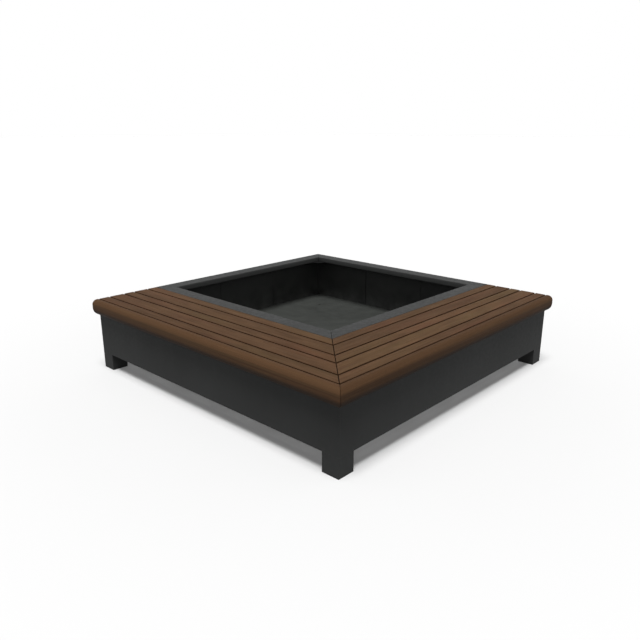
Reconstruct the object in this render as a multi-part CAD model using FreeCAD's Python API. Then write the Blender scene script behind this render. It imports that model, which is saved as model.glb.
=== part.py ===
"""Square planter with a mitred timber bench along two of its sides.

Units are millimetres. The origin is on the ground at the centre of the square
body, +Z points up, -Y is the front bench and +X is the right bench. The two
benches meet at the near corner (+X, -Y). The visible shape mirrors onto itself
across the upright plane through the near corner and the rear corner, so each
piece of the right bench is the mirror image of one of the front bench.
"""
import FreeCAD, Part
import math
import os

Vec = FreeCAD.Vector

# Body and seat
BODY_HALF = 1000.0
SEAT_HEIGHT = 450.0
SEAT_DEPTH = 417.0
LEG_HEIGHT = 103.0
LEG_WIDTH = 100.0
SHEET = 3.0

# Folded edges of the casing, measured inwards from its outer face
TOP_FLANGE = 25.0
TOP_LIP_DROP = 30.0
BOTTOM_FLANGE = 28.0
JOINT_FLANGE = 38.0

# Planter rim
RIM_WIDTH_OUTER = 100.0
RIM_WIDTH_BENCH = 94.0
RIM_LIP_DROP = 36.0
RIM_RETURN = 18.0
RIM_BEND_RADIUS = 5.0
RIM_MITRE_GAP = 2.0
GUSSET_LEG = 60.0

# Planter lining and floor
LINING_OUTER_INSET = 5.0
LINING_INNER_INSET = 7.0
LINING_TOP = 406.0
LINING_SHEETS_PER_SIDE = 3
LINING_JOINT_GAP = 3.0
LINING_OPEN_JOINT_GAP = 9.0
JOINT_STRIP_WIDTH = 40.0
DRAIN_FROM_LINING = 250.0
DRAIN_RADIUS = 8.0
SPOUT_OUTER_RADIUS = 11.0
SPOUT_LENGTH = 22.0

# Floor beams and their levelling feet
BEAM_WIDTH = 60.0
BEAM_HEIGHT = 40.0
BEAM_END_INSET = 60.0
BEAM_SIDE_INSET = 140.0
FOOT_FROM_BEAM_END = 100.0
FOOT_PAD_RADIUS = 30.0
FOOT_PAD_HEIGHT = 15.0
FOOT_STEM_RADIUS = 8.0
FOOT_NUT_FLATS = 24.0
FOOT_NUT_HEIGHT = 13.0
FOOT_STEM_CLEARANCE = 12.0

# Timber
SLAT_THICKNESS = 40.0
NARROW_SLAT = 64.0
WIDE_SLAT = 93.0
SLAT_WIDTHS = (NARROW_SLAT, WIDE_SLAT, NARROW_SLAT, WIDE_SLAT, NARROW_SLAT)
SLAT_GAP = 8.0
FIRST_GAP = 6.5
MITRE_GAP = 3.0
SLAT_EDGE_RADIUS = 3.0
BULLNOSE_DEPTH = 44.0
BULLNOSE_HEIGHT = 100.0
BULLNOSE_TOP_RADIUS = 30.0
BULLNOSE_LOW_RADIUS = 50.0
BULLNOSE_MITRE_GAP = 1.0

# Bearers under the boards
BEARER_WIDTH = 50.0
BEARER_HEIGHT = 60.0
BEARER_FIRST_X = -640.0
BEARER_PITCH = 370.0
BEARER_COUNT = 4
MITRE_BEARER_WIDTH = 80.0

# Fasteners
SCREW_RADIUS = 2.5
SCREW_HOLE_RADIUS = 3.0
SCREW_HEAD_RADIUS = 6.0
SCREW_HEAD_HEIGHT = 3.0
SCREW_GRIP = 33.0
WIDE_SLAT_SCREW_OFFSET = 25.0
MITRE_SCREW_SETBACK = 30.0
BULLNOSE_SCREW_Z = 385.0
BULLNOSE_SCREW_COUNT = 7
BULLNOSE_SCREW_PITCH = 300.0
STUD_RADIUS = 4.0
STUD_HOLE_RADIUS = 4.5
STUD_LENGTH = 20.0
STUD_Z = 378.0
JOINT_STUD_HEIGHTS = (180.0, 320.0)
STUD_NUT_FLATS = 13.0
STUD_NUT_HEIGHT = 6.5
ANCHOR_PLATE = 8.0
ANCHOR_HOLE_RADIUS = 7.0
ANCHOR_THREAD_RADIUS = 5.1
ANCHOR_NUT_FLATS = 19.0
ANCHOR_NUT_HEIGHT = 10.0

# Levels and places worked out from the sizes above
SLAT_UNDERSIDE = SEAT_HEIGHT - SLAT_THICKNESS
WALL_TOP = SEAT_HEIGHT - SHEET
PLANTER_NEAR = BODY_HALF - SEAT_DEPTH
LIP_BOTTOM = SEAT_HEIGHT - RIM_LIP_DROP
FLOOR_TOP = LEG_HEIGHT + SHEET


def box(x_low, x_high, y_low, y_high, z_low, z_high):
    """Block between two corners."""
    size = (x_high - x_low, y_high - y_low, z_high - z_low)
    return Part.makeBox(*size, Vec(x_low, y_low, z_low))


def upright_prism(outline, z_low, z_high):
    """Prism on a plan outline of (x, y) corners."""
    corners = [Vec(x, y, z_low) for x, y in outline]
    face = Part.Face(Part.makePolygon(corners + corners[:1]))
    return face.extrude(Vec(0, 0, z_high - z_low))


def cylinder(radius, height, base, direction):
    """Solid cylinder that grows from its base point along a direction."""
    return Part.makeCylinder(radius, height, Vec(*base), Vec(*direction))


def hex_prism(flats, height, x, y, z_low):
    """Upright hexagonal prism of a nut."""
    corner_radius = flats / math.sqrt(3.0)
    angles = [math.radians(60.0 * step) for step in range(6)]
    outline = [(x + corner_radius * math.cos(a), y + corner_radius * math.sin(a)) for a in angles]
    return upright_prism(outline, z_low, z_low + height)


def fuse(shapes):
    """One clean solid from overlapping or touching shapes."""
    joined = shapes[0]
    for shape in shapes[1:]:
        joined = joined.fuse(shape)
    return joined.removeSplitter()


def cut_all(shape, tools):
    """Shape with every tool removed."""
    return shape.cut(Part.makeCompound(tools)) if tools else shape


def mirrored(shape):
    """Twin of a shape across the upright plane through the near and rear corners."""
    return shape.mirror(Vec(0, 0, 0), Vec(1, 1, 0))


def corner_arc(before, corner, after, radius):
    """Two tangent points and the mid point of the arc that rounds a corner."""
    to_before = (before - corner).normalize()
    to_after = (after - corner).normalize()
    half_angle = to_before.getAngle(to_after) / 2.0
    reach = radius / math.tan(half_angle)
    start = corner + to_before * reach
    end = corner + to_after * reach
    bisector = (to_before + to_after).normalize()
    centre = corner + bisector * (radius / math.sin(half_angle))
    return start, centre - bisector * radius, end


def section_face(corners):
    """Upright cross-section in the Y-Z plane from (y, z, corner radius) entries."""
    points = [Vec(0, y, z) for y, z, _ in corners]
    count = len(points)
    stations = []
    arcs = []
    for index, (_, _, radius) in enumerate(corners):
        here = points[index]
        if radius > 0.0:
            start, middle, end = corner_arc(points[index - 1], here, points[(index + 1) % count], radius)
            stations.append((start, end))
            arcs.append(Part.Arc(start, middle, end).toShape())
        else:
            stations.append((here, here))
            arcs.append(None)
    edges = []
    for index in range(count):
        if arcs[index] is not None:
            edges.append(arcs[index])
        leave = stations[index][1]
        arrive = stations[(index + 1) % count][0]
        if leave.distanceToPoint(arrive) > 1e-6:
            edges.append(Part.LineSegment(leave, arrive).toShape())
    return Part.Face(Part.Wire(edges))


def bar_along_x(face, x_low, x_high):
    """Straight bar of one cross-section."""
    placed = face.copy()
    placed.translate(Vec(x_low, 0, 0))
    return placed.extrude(Vec(x_high - x_low, 0, 0))


def planter_corner(side_x, side_y, inset):
    """Corner of the planter's plan outline, moved inwards."""
    x = -BODY_HALF + inset if side_x == "left" else PLANTER_NEAR - inset
    y = -PLANTER_NEAR + inset if side_y == "front" else BODY_HALF - inset
    return x, y


def planter_run(side, inset_low, inset_high, z_low, z_high):
    """Mitred run along the front or left side of the planter, between two insets."""
    if side == "front":
        ends = (("left", "front"), ("right", "front"))
    else:
        ends = (("left", "front"), ("left", "rear"))
    outer = [planter_corner(*end, inset_low) for end in ends]
    inner = [planter_corner(*end, inset_high) for end in ends]
    return upright_prism([outer[0], outer[1], inner[1], inner[0]], z_low, z_high)


def skirt_run(inset_low, inset_high, z_low, z_high):
    """Run along the front skirt, mitred at both ends."""
    far = BODY_HALF - inset_low
    near = BODY_HALF - inset_high
    return upright_prism([(-far, -far), (far, -far), (near, -near), (-near, -near)], z_low, z_high)


def end_run(inset_low, inset_high, z_low, z_high):
    """Run along the bench's left end, mitred at the body's corner and square at the planter."""
    far = BODY_HALF - inset_low
    near = BODY_HALF - inset_high
    outline = [(-far, -far), (-near, -near), (-near, -PLANTER_NEAR), (-far, -PLANTER_NEAR)]
    return upright_prism(outline, z_low, z_high)


def folded_casing(run):
    """Casing panel with its folded top flange, top lip and bottom flange."""
    return fuse([
        run(0.0, SHEET, LEG_HEIGHT, SLAT_UNDERSIDE),
        run(0.0, TOP_FLANGE, SLAT_UNDERSIDE - SHEET, SLAT_UNDERSIDE),
        run(TOP_FLANGE - SHEET, TOP_FLANGE, SLAT_UNDERSIDE - TOP_LIP_DROP, SLAT_UNDERSIDE),
        run(0.0, BOTTOM_FLANGE, LEG_HEIGHT, LEG_HEIGHT + SHEET),
    ])


def slat_bands():
    """Distances of each board's two edges from the body's face, front board first."""
    bands = []
    edge = FIRST_GAP
    for width in SLAT_WIDTHS:
        bands.append((edge, edge + width))
        edge += width + SLAT_GAP
    return bands


def screw_lines():
    """Distances from the body's face at which the boards are screwed down."""
    lines = []
    for low, high in slat_bands():
        middle = (low + high) / 2.0
        if high - low < WIDE_SLAT:
            lines.append(middle)
        else:
            lines.append(middle - WIDE_SLAT_SCREW_OFFSET)
            lines.append(middle + WIDE_SLAT_SCREW_OFFSET)
    return lines


def bearer_places():
    """X of each bearer of the front bench."""
    return [BEARER_FIRST_X + BEARER_PITCH * index for index in range(BEARER_COUNT)]


def slat_screw_places():
    """Plan places of every screw that holds the front bench's boards from below."""
    flange_middle = -BODY_HALF + TOP_FLANGE / 2.0
    places = []
    for offset in screw_lines():
        y = -BODY_HALF + offset
        for x in [flange_middle] + bearer_places():
            places.append((x, y))
        places.append((BODY_HALF - offset - MITRE_SCREW_SETBACK, y))
    return places


def slat_screw(x, y):
    """Flanged screw driven up through a bearer into a board."""
    web_low = SLAT_UNDERSIDE - SHEET
    head = cylinder(SCREW_HEAD_RADIUS, SCREW_HEAD_HEIGHT, (x, y, web_low - SCREW_HEAD_HEIGHT), (0, 0, 1))
    shank = cylinder(SCREW_RADIUS, SCREW_GRIP, (x, y, web_low), (0, 0, 1))
    return head.fuse(shank)


def slat_pilot(x, y):
    """Pilot hole of a board screw."""
    return cylinder(SCREW_RADIUS, SCREW_GRIP - SHEET, (x, y, SLAT_UNDERSIDE), (0, 0, 1))


def flange_hole(x, y):
    """Clearance hole for a board screw in the sheet under the boards."""
    return cylinder(SCREW_HOLE_RADIUS, SHEET, (x, y, SLAT_UNDERSIDE - SHEET), (0, 0, 1))


def bullnose_screw_places():
    """X of each screw that holds the front rounded board."""
    first = -BULLNOSE_SCREW_PITCH * (BULLNOSE_SCREW_COUNT - 1) / 2.0
    return [first + BULLNOSE_SCREW_PITCH * index for index in range(BULLNOSE_SCREW_COUNT)]


def bullnose_screw(x):
    """Screw driven outwards through the skirt into the rounded board."""
    inner_face = -BODY_HALF + SHEET
    head_end = (x, inner_face + SCREW_HEAD_HEIGHT, BULLNOSE_SCREW_Z)
    head = cylinder(SCREW_HEAD_RADIUS, SCREW_HEAD_HEIGHT, head_end, (0, -1, 0))
    shank = cylinder(SCREW_RADIUS, SCREW_GRIP, (x, inner_face, BULLNOSE_SCREW_Z), (0, -1, 0))
    return head.fuse(shank)


def bullnose_pilot(x):
    """Pilot hole of a screw in the rounded board."""
    return cylinder(SCREW_RADIUS, SCREW_GRIP - SHEET, (x, -BODY_HALF, BULLNOSE_SCREW_Z), (0, -1, 0))


def make_front_skirt():
    """Front casing panel, drilled for the rounded board's screws."""
    holes = [
        cylinder(SCREW_HOLE_RADIUS, SHEET, (x, -BODY_HALF, BULLNOSE_SCREW_Z), (0, 1, 0))
        for x in bullnose_screw_places()
    ]
    return cut_all(folded_casing(skirt_run), holes)


def make_left_end_panel():
    """Closed end of the front bench, with the flange that meets the planter."""
    flange = box(
        -BODY_HALF, -BODY_HALF + JOINT_FLANGE,
        -PLANTER_NEAR - SHEET, -PLANTER_NEAR,
        LEG_HEIGHT, SLAT_UNDERSIDE - TOP_LIP_DROP,
    )
    panel = fuse([folded_casing(end_run), flange])
    screw_x = -BODY_HALF + TOP_FLANGE / 2.0
    holes = [flange_hole(screw_x, -BODY_HALF + offset) for offset in screw_lines()]
    holes += [stud_hole(*place) for place in joint_stud_places()]
    return cut_all(panel, holes)


def joint_stud_places():
    """Places of the studs that pass through the end panel's flange."""
    x = -BODY_HALF + (SHEET + JOINT_FLANGE) / 2.0
    return [(x, z) for z in JOINT_STUD_HEIGHTS]


def stud_places():
    """Places of all studs on the planter's front wall."""
    return joint_stud_places() + [(x, STUD_Z) for x in bearer_places()]


def stud(x, z):
    """Stud welded to the planter's front wall."""
    return cylinder(STUD_RADIUS, STUD_LENGTH, (x, -PLANTER_NEAR, z), (0, -1, 0))


def stud_hole(x, z):
    """Clearance hole for a stud in a sheet against the planter's front wall."""
    return cylinder(STUD_HOLE_RADIUS, SHEET, (x, -PLANTER_NEAR, z), (0, -1, 0))


def stud_nut(x, z):
    """Hexagonal nut on a stud."""
    nut = hex_prism(STUD_NUT_FLATS, STUD_NUT_HEIGHT, 0.0, 0.0, 0.0)
    nut = nut.cut(cylinder(STUD_RADIUS, STUD_NUT_HEIGHT, (0, 0, 0), (0, 0, 1)))
    nut.rotate(Vec(0, 0, 0), Vec(1, 0, 0), 90.0)
    nut.translate(Vec(x, -PLANTER_NEAR - SHEET, z))
    return nut


def make_leg(x_sign, y_sign):
    """Square box leg with a closed top, flush with the body's faces."""
    outer = BODY_HALF
    inner = BODY_HALF - LEG_WIDTH
    xs = sorted((x_sign * outer, x_sign * inner))
    ys = sorted((y_sign * outer, y_sign * inner))
    shell = box(*xs, *ys, 0.0, LEG_HEIGHT)
    hollow = box(
        xs[0] + SHEET, xs[1] - SHEET, ys[0] + SHEET, ys[1] - SHEET, 0.0, LEG_HEIGHT - SHEET
    )
    return shell.cut(hollow)


def make_base_plate(x_sign, y_sign):
    """Plate inside a leg's foot, with the anchor hole at its centre."""
    centre = BODY_HALF - LEG_WIDTH / 2.0
    half = LEG_WIDTH / 2.0 - SHEET
    x = x_sign * centre
    y = y_sign * centre
    plate = box(x - half, x + half, y - half, y + half, 0.0, ANCHOR_PLATE)
    return plate.cut(cylinder(ANCHOR_HOLE_RADIUS, ANCHOR_PLATE, (x, y, 0), (0, 0, 1)))


def make_anchor_nut(x_sign, y_sign):
    """Nut welded on a base plate."""
    x = x_sign * (BODY_HALF - LEG_WIDTH / 2.0)
    y = y_sign * (BODY_HALF - LEG_WIDTH / 2.0)
    nut = hex_prism(ANCHOR_NUT_FLATS, ANCHOR_NUT_HEIGHT, x, y, ANCHOR_PLATE)
    return nut.cut(cylinder(ANCHOR_THREAD_RADIUS, ANCHOR_NUT_HEIGHT, (x, y, ANCHOR_PLATE), (0, 0, 1)))


def rim_section(width):
    """Folded rim: flat top, lip and return, from its outer edge at y = 0."""
    bend = RIM_BEND_RADIUS
    inner_bend = RIM_BEND_RADIUS - SHEET
    lip_inside = width - SHEET
    return section_face([
        (0.0, SEAT_HEIGHT, 0.0),
        (width, SEAT_HEIGHT, bend),
        (width, LIP_BOTTOM, bend),
        (width - RIM_RETURN, LIP_BOTTOM, 0.0),
        (width - RIM_RETURN, LIP_BOTTOM + SHEET, 0.0),
        (lip_inside, LIP_BOTTOM + SHEET, inner_bend),
        (lip_inside, WALL_TOP, inner_bend),
        (0.0, WALL_TOP, 0.0),
    ])


def opening_corner(side_x, side_y):
    """Corner of the planting opening inside the rim."""
    x = -BODY_HALF + RIM_WIDTH_OUTER if side_x == "left" else PLANTER_NEAR - RIM_WIDTH_BENCH
    y = -PLANTER_NEAR + RIM_WIDTH_BENCH if side_y == "front" else BODY_HALF - RIM_WIDTH_OUTER
    return x, y


def mitre_kerf(side_x, side_y):
    """Thin upright slice along the rim's mitre at one corner."""
    outer = Vec(*planter_corner(side_x, side_y, 0.0), 0)
    inner = Vec(*opening_corner(side_x, side_y), 0)
    along = (inner - outer).normalize()
    across = Vec(-along.y, along.x, 0) * (RIM_MITRE_GAP / 2.0)
    start = outer - along * RIM_MITRE_GAP
    end = inner + along * RIM_MITRE_GAP
    corners = [start - across, end - across, end + across, start + across]
    return upright_prism([(p.x, p.y) for p in corners], LIP_BOTTOM - SHEET, SEAT_HEIGHT + SHEET)


def make_rim_rail(side):
    """Rim rail of the planter's front or left side, mitred at both ends."""
    if side == "front":
        rail = bar_along_x(rim_section(RIM_WIDTH_BENCH), -BODY_HALF, PLANTER_NEAR)
        rail.translate(Vec(0, -PLANTER_NEAR, 0))
        ends = (("left", "front"), ("right", "front"))
    else:
        rail = bar_along_x(rim_section(RIM_WIDTH_OUTER), -BODY_HALF, PLANTER_NEAR)
        rail.rotate(Vec(0, 0, 0), Vec(0, 0, 1), -90.0)
        rail.translate(Vec(-BODY_HALF, 0, 0))
        ends = (("left", "front"), ("left", "rear"))
    outer = [planter_corner(*end, 0.0) for end in ends]
    inner = [opening_corner(*end) for end in ends]
    outline = [outer[0], outer[1], inner[1], inner[0]]
    mitred = rail.common(upright_prism(outline, LIP_BOTTOM - SHEET, SEAT_HEIGHT + SHEET))
    return cut_all(mitred, [mitre_kerf(*end) for end in ends])


def make_gusset(side_x, side_y):
    """Triangular plate under the rim's return at one corner of the opening."""
    x, y = opening_corner(side_x, side_y)
    into_x = 1.0 if side_x == "left" else -1.0
    into_y = 1.0 if side_y == "front" else -1.0
    lap = RIM_RETURN
    outline = [
        (x - into_x * lap, y - into_y * lap),
        (x + into_x * GUSSET_LEG, y - into_y * lap),
        (x + into_x * GUSSET_LEG, y),
        (x, y + into_y * GUSSET_LEG),
        (x - into_x * lap, y + into_y * GUSSET_LEG),
    ]
    return upright_prism(outline, LIP_BOTTOM - SHEET, LIP_BOTTOM)


def lining_span():
    """Ends of the lining's inner width, along X for the front side."""
    return -BODY_HALF + LINING_INNER_INSET, PLANTER_NEAR - LINING_INNER_INSET


def lining_seams():
    """Places of the upright joints between the lining sheets of a side."""
    low, high = lining_span()
    pitch = (high - low) / LINING_SHEETS_PER_SIDE
    return [low + pitch * index for index in range(1, LINING_SHEETS_PER_SIDE)]


def make_lining(side, joint_gaps):
    """The lining sheets of the front or left side, one solid each, with a gap at each joint."""
    run = planter_run(side, LINING_OUTER_INSET, LINING_INNER_INSET, FLOOR_TOP, LINING_TOP)
    slots = []
    for place, gap in zip(lining_seams(), joint_gaps):
        half_gap = gap / 2.0
        if side == "front":
            slots.append(box(place - half_gap, place + half_gap, -BODY_HALF, 0.0, FLOOR_TOP, LINING_TOP))
        else:
            slots.append(box(-BODY_HALF, 0.0, -place - half_gap, -place + half_gap, FLOOR_TOP, LINING_TOP))
    return cut_all(run, slots)


def make_joint_strips():
    """Upright strips between the front wall and its lining, at the joints and near the corners."""
    low, high = lining_span()
    half = JOINT_STRIP_WIDTH / 2.0
    places = [low + half] + lining_seams() + [high - half]
    y_low = -PLANTER_NEAR + SHEET
    y_high = -PLANTER_NEAR + LINING_OUTER_INSET
    return [box(x - half, x + half, y_low, y_high, FLOOR_TOP, LINING_TOP) for x in places]


def make_left_joint_strips():
    """Upright strips between the left wall and its lining."""
    low, high = lining_span()
    half = JOINT_STRIP_WIDTH / 2.0
    places = [low + half] + lining_seams() + [high - half]
    x_low = -BODY_HALF + SHEET
    x_high = -BODY_HALF + LINING_OUTER_INSET
    return [box(x_low, x_high, -y - half, -y + half, FLOOR_TOP, LINING_TOP) for y in places]


def drain_places():
    """Plan places of the drain holes, each the same distance from two walls."""
    low, high = lining_span()
    xs = (low + DRAIN_FROM_LINING, high - DRAIN_FROM_LINING)
    return [(x, -y) for x in xs for y in xs]


def make_floor():
    """Floor sheet inside the planter's walls, with its drain holes."""
    low = -BODY_HALF + SHEET
    high = PLANTER_NEAR - SHEET
    sheet = box(low, high, -high, -low, LEG_HEIGHT, FLOOR_TOP)
    holes = [cylinder(DRAIN_RADIUS, SHEET, (x, y, LEG_HEIGHT), (0, 0, 1)) for x, y in drain_places()]
    return cut_all(sheet, holes)


def make_spout(x, y):
    """Short tube welded under a drain hole."""
    base = (x, y, LEG_HEIGHT - SPOUT_LENGTH)
    tube = cylinder(SPOUT_OUTER_RADIUS, SPOUT_LENGTH, base, (0, 0, 1))
    return tube.cut(cylinder(DRAIN_RADIUS, SPOUT_LENGTH, base, (0, 0, 1)))


def beam_lines():
    """Y of each floor beam's centre line, front beam first."""
    first = -PLANTER_NEAR + BEAM_SIDE_INSET
    last = BODY_HALF - BEAM_SIDE_INSET
    return [first, (first + last) / 2.0, last]


def beam_ends():
    """X of the beams' two ends."""
    return -BODY_HALF + BEAM_END_INSET, PLANTER_NEAR - BEAM_END_INSET


def foot_places(beam_index):
    """X of the levelling feet under one beam; the middle beam has a third foot."""
    low, high = beam_ends()
    places = [low + FOOT_FROM_BEAM_END, high - FOOT_FROM_BEAM_END]
    if beam_index == 1:
        places.append((low + high) / 2.0)
    return places


def make_beam(index):
    """Hollow floor beam, open at both ends, with a hole for each levelling foot."""
    y = beam_lines()[index]
    low, high = beam_ends()
    z_low = LEG_HEIGHT - BEAM_HEIGHT
    half = BEAM_WIDTH / 2.0
    tube = box(low, high, y - half, y + half, z_low, LEG_HEIGHT)
    hollow = box(low, high, y - half + SHEET, y + half - SHEET, z_low + SHEET, LEG_HEIGHT - SHEET)
    holes = [cylinder(FOOT_STEM_RADIUS, SHEET, (x, y, z_low), (0, 0, 1)) for x in foot_places(index)]
    return cut_all(tube.cut(hollow), holes)


def make_foot(x, y):
    """Pad, stem and lock nut of one levelling foot."""
    beam_bottom = LEG_HEIGHT - BEAM_HEIGHT
    stem_low = FOOT_PAD_HEIGHT
    stem_high = LEG_HEIGHT - FOOT_STEM_CLEARANCE
    pad = cylinder(FOOT_PAD_RADIUS, FOOT_PAD_HEIGHT, (x, y, 0), (0, 0, 1))
    stem = cylinder(FOOT_STEM_RADIUS, stem_high - stem_low, (x, y, stem_low), (0, 0, 1))
    nut = hex_prism(FOOT_NUT_FLATS, FOOT_NUT_HEIGHT, x, y, beam_bottom - FOOT_NUT_HEIGHT)
    return pad, stem, nut.cut(stem)


def make_bearer(x):
    """Folded channel, open below, with the end plate that is bolted to the planter."""
    half = BEARER_WIDTH / 2.0
    y_skirt = -BODY_HALF + TOP_FLANGE
    y_plate = -PLANTER_NEAR - SHEET
    z_low = SLAT_UNDERSIDE - BEARER_HEIGHT
    channel = box(x - half, x + half, y_skirt, -PLANTER_NEAR, z_low, SLAT_UNDERSIDE)
    hollow = box(x - half + SHEET, x + half - SHEET, y_skirt, y_plate, z_low, SLAT_UNDERSIDE - SHEET)
    holes = [flange_hole(x, -BODY_HALF + offset) for offset in screw_lines()]
    holes.append(stud_hole(x, STUD_Z))
    return cut_all(channel.cut(hollow), holes)


def make_mitre_bearer():
    """Wide channel under the mitre, from the planter's corner to the skirt's corner."""
    reach = BODY_HALF * math.sqrt(2.0)
    half = MITRE_BEARER_WIDTH / 2.0
    z_low = SLAT_UNDERSIDE - BEARER_HEIGHT
    channel = box(0.0, reach, -half, half, z_low, SLAT_UNDERSIDE)
    hollow = box(0.0, reach, -half + SHEET, half - SHEET, z_low, SLAT_UNDERSIDE - SHEET)
    bar = channel.cut(hollow)
    bar.rotate(Vec(0, 0, 0), Vec(0, 0, 1), -45.0)
    skirt_face = BODY_HALF - TOP_FLANGE
    bar = bar.common(box(0.0, skirt_face, -skirt_face, 0.0, z_low, SLAT_UNDERSIDE))
    bar = bar.cut(box(-BODY_HALF, PLANTER_NEAR, -PLANTER_NEAR, BODY_HALF, z_low, SLAT_UNDERSIDE))
    front_holes = []
    for offset in screw_lines():
        front_holes.append(flange_hole(BODY_HALF - offset - MITRE_SCREW_SETBACK, -BODY_HALF + offset))
    return cut_all(bar, front_holes + [mirrored(hole) for hole in front_holes])


def front_of_mitre(mitre_gap, z_low, z_high):
    """Space of the front bench's timber: ends at the body's left face and half a gap before the mitre."""
    out = BULLNOSE_DEPTH + SLAT_GAP
    trim = mitre_gap / math.sqrt(2.0)
    outline = [
        (-BODY_HALF, -BODY_HALF - out),
        (BODY_HALF + out - trim, -BODY_HALF - out),
        (-trim, 0.0),
        (-BODY_HALF, 0.0),
    ]
    return upright_prism(outline, z_low, z_high)


def make_front_slat(low, high):
    """Board with eased top edges, cut to the mitre and drilled from below."""
    y_low = -BODY_HALF + low
    y_high = -BODY_HALF + high
    face = section_face([
        (y_low, SLAT_UNDERSIDE, 0.0),
        (y_high, SLAT_UNDERSIDE, 0.0),
        (y_high, SEAT_HEIGHT, SLAT_EDGE_RADIUS),
        (y_low, SEAT_HEIGHT, SLAT_EDGE_RADIUS),
    ])
    bar = bar_along_x(face, -BODY_HALF - SLAT_GAP, BODY_HALF)
    board = bar.common(front_of_mitre(MITRE_GAP, SLAT_UNDERSIDE, SEAT_HEIGHT))
    pilots = [slat_pilot(x, y) for x, y in slat_screw_places() if y_low < y < y_high]
    return cut_all(board, pilots)


def bullnose_face():
    """Rounded section: a tight arc above, a wide arc below, flat against the casing."""
    back = -BODY_HALF
    front = -BODY_HALF - BULLNOSE_DEPTH
    low_centre_y = front + BULLNOSE_LOW_RADIUS
    low_centre_z = SEAT_HEIGHT - BULLNOSE_HEIGHT + BULLNOSE_LOW_RADIUS
    top_centre_y = front + BULLNOSE_TOP_RADIUS
    top_centre_z = SEAT_HEIGHT - BULLNOSE_TOP_RADIUS
    back_low_z = low_centre_z - math.sqrt(BULLNOSE_LOW_RADIUS ** 2 - (low_centre_y - back) ** 2)
    end_angle = math.atan2(back_low_z - low_centre_z, back - low_centre_y)
    middle_angle = (end_angle - math.pi) / 2.0
    diagonal = BULLNOSE_TOP_RADIUS / math.sqrt(2.0)
    start = Vec(0, back, SEAT_HEIGHT)
    top_start = Vec(0, top_centre_y, SEAT_HEIGHT)
    top_middle = Vec(0, top_centre_y - diagonal, top_centre_z + diagonal)
    top_end = Vec(0, front, top_centre_z)
    low_start = Vec(0, front, low_centre_z)
    low_middle = Vec(
        0,
        low_centre_y + BULLNOSE_LOW_RADIUS * math.cos(middle_angle),
        low_centre_z + BULLNOSE_LOW_RADIUS * math.sin(middle_angle),
    )
    low_end = Vec(0, back, back_low_z)
    edges = [
        Part.LineSegment(start, top_start).toShape(),
        Part.Arc(top_start, top_middle, top_end).toShape(),
        Part.LineSegment(top_end, low_start).toShape(),
        Part.Arc(low_start, low_middle, low_end).toShape(),
        Part.LineSegment(low_end, start).toShape(),
    ]
    return Part.Face(Part.Wire(edges))


def make_front_bullnose():
    """Rounded board along the front edge of the seat."""
    bar = bar_along_x(bullnose_face(), -BODY_HALF - SLAT_GAP, BODY_HALF + 2.0 * BULLNOSE_DEPTH)
    board = bar.common(front_of_mitre(BULLNOSE_MITRE_GAP, SEAT_HEIGHT - BULLNOSE_HEIGHT - SHEET, SEAT_HEIGHT))
    return cut_all(board, [bullnose_pilot(x) for x in bullnose_screw_places()])


def add_casing(nodes):
    """Skirt panels, end panels and planter walls."""
    nodes["front_skirt_panel"] = [make_front_skirt()]
    nodes["right_skirt_panel"] = [mirrored(make_front_skirt())]
    nodes["left_end_panel"] = [make_left_end_panel()]
    nodes["rear_end_panel"] = [mirrored(make_left_end_panel())]
    for side, twin in (("front", "right"), ("left", "rear")):
        wall = planter_run(side, 0.0, SHEET, LEG_HEIGHT, WALL_TOP)
        nodes["planter_wall_" + side] = [wall]
        nodes["planter_wall_" + twin] = [mirrored(wall)]


def add_legs(nodes):
    """Box legs, their base plates and weld nuts."""
    signs = {"near": (1, -1), "left": (-1, -1), "right": (1, 1), "rear": (-1, 1)}
    for name, sign in signs.items():
        nodes["leg_" + name] = [make_leg(*sign)]
    nodes["leg_base_plates"] = [make_base_plate(*sign) for sign in signs.values()]
    nodes["anchor_weld_nuts"] = [make_anchor_nut(*sign) for sign in signs.values()]


def add_planter(nodes):
    """Rim, gussets, lining, floor and drains. One joint of the rear lining stands wider open."""
    even_gaps = (LINING_JOINT_GAP, LINING_JOINT_GAP)
    rear_gaps = (LINING_OPEN_JOINT_GAP, LINING_JOINT_GAP)
    for side, twin, twin_gaps in (("front", "right", even_gaps), ("left", "rear", rear_gaps)):
        rail = make_rim_rail(side)
        nodes["rim_rail_" + side] = [rail]
        nodes["rim_rail_" + twin] = [mirrored(rail)]
        nodes["lining_" + side] = make_lining(side, even_gaps).Solids
        nodes["lining_" + twin] = mirrored(make_lining(side, twin_gaps)).Solids
    corners = [(x, y) for x in ("left", "right") for y in ("front", "rear")]
    nodes["rim_corner_gussets"] = [make_gusset(*corner) for corner in corners]
    strips = make_joint_strips() + make_left_joint_strips()
    nodes["lining_joint_strips"] = strips + [mirrored(strip) for strip in strips]
    nodes["planter_floor"] = [make_floor()]
    nodes["drain_spouts"] = [make_spout(*place) for place in drain_places()]


def add_base(nodes):
    """Floor beams and levelling feet."""
    pads, stems, nuts = [], [], []
    for index, y in enumerate(beam_lines()):
        nodes["base_beam_%d" % (index + 1)] = [make_beam(index)]
        for x in foot_places(index):
            pad, stem, nut = make_foot(x, y)
            pads.append(pad)
            stems.append(stem)
            nuts.append(nut)
    nodes["levelling_foot_pads"] = pads
    nodes["levelling_foot_stems"] = stems
    nodes["levelling_foot_nuts"] = nuts


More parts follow.
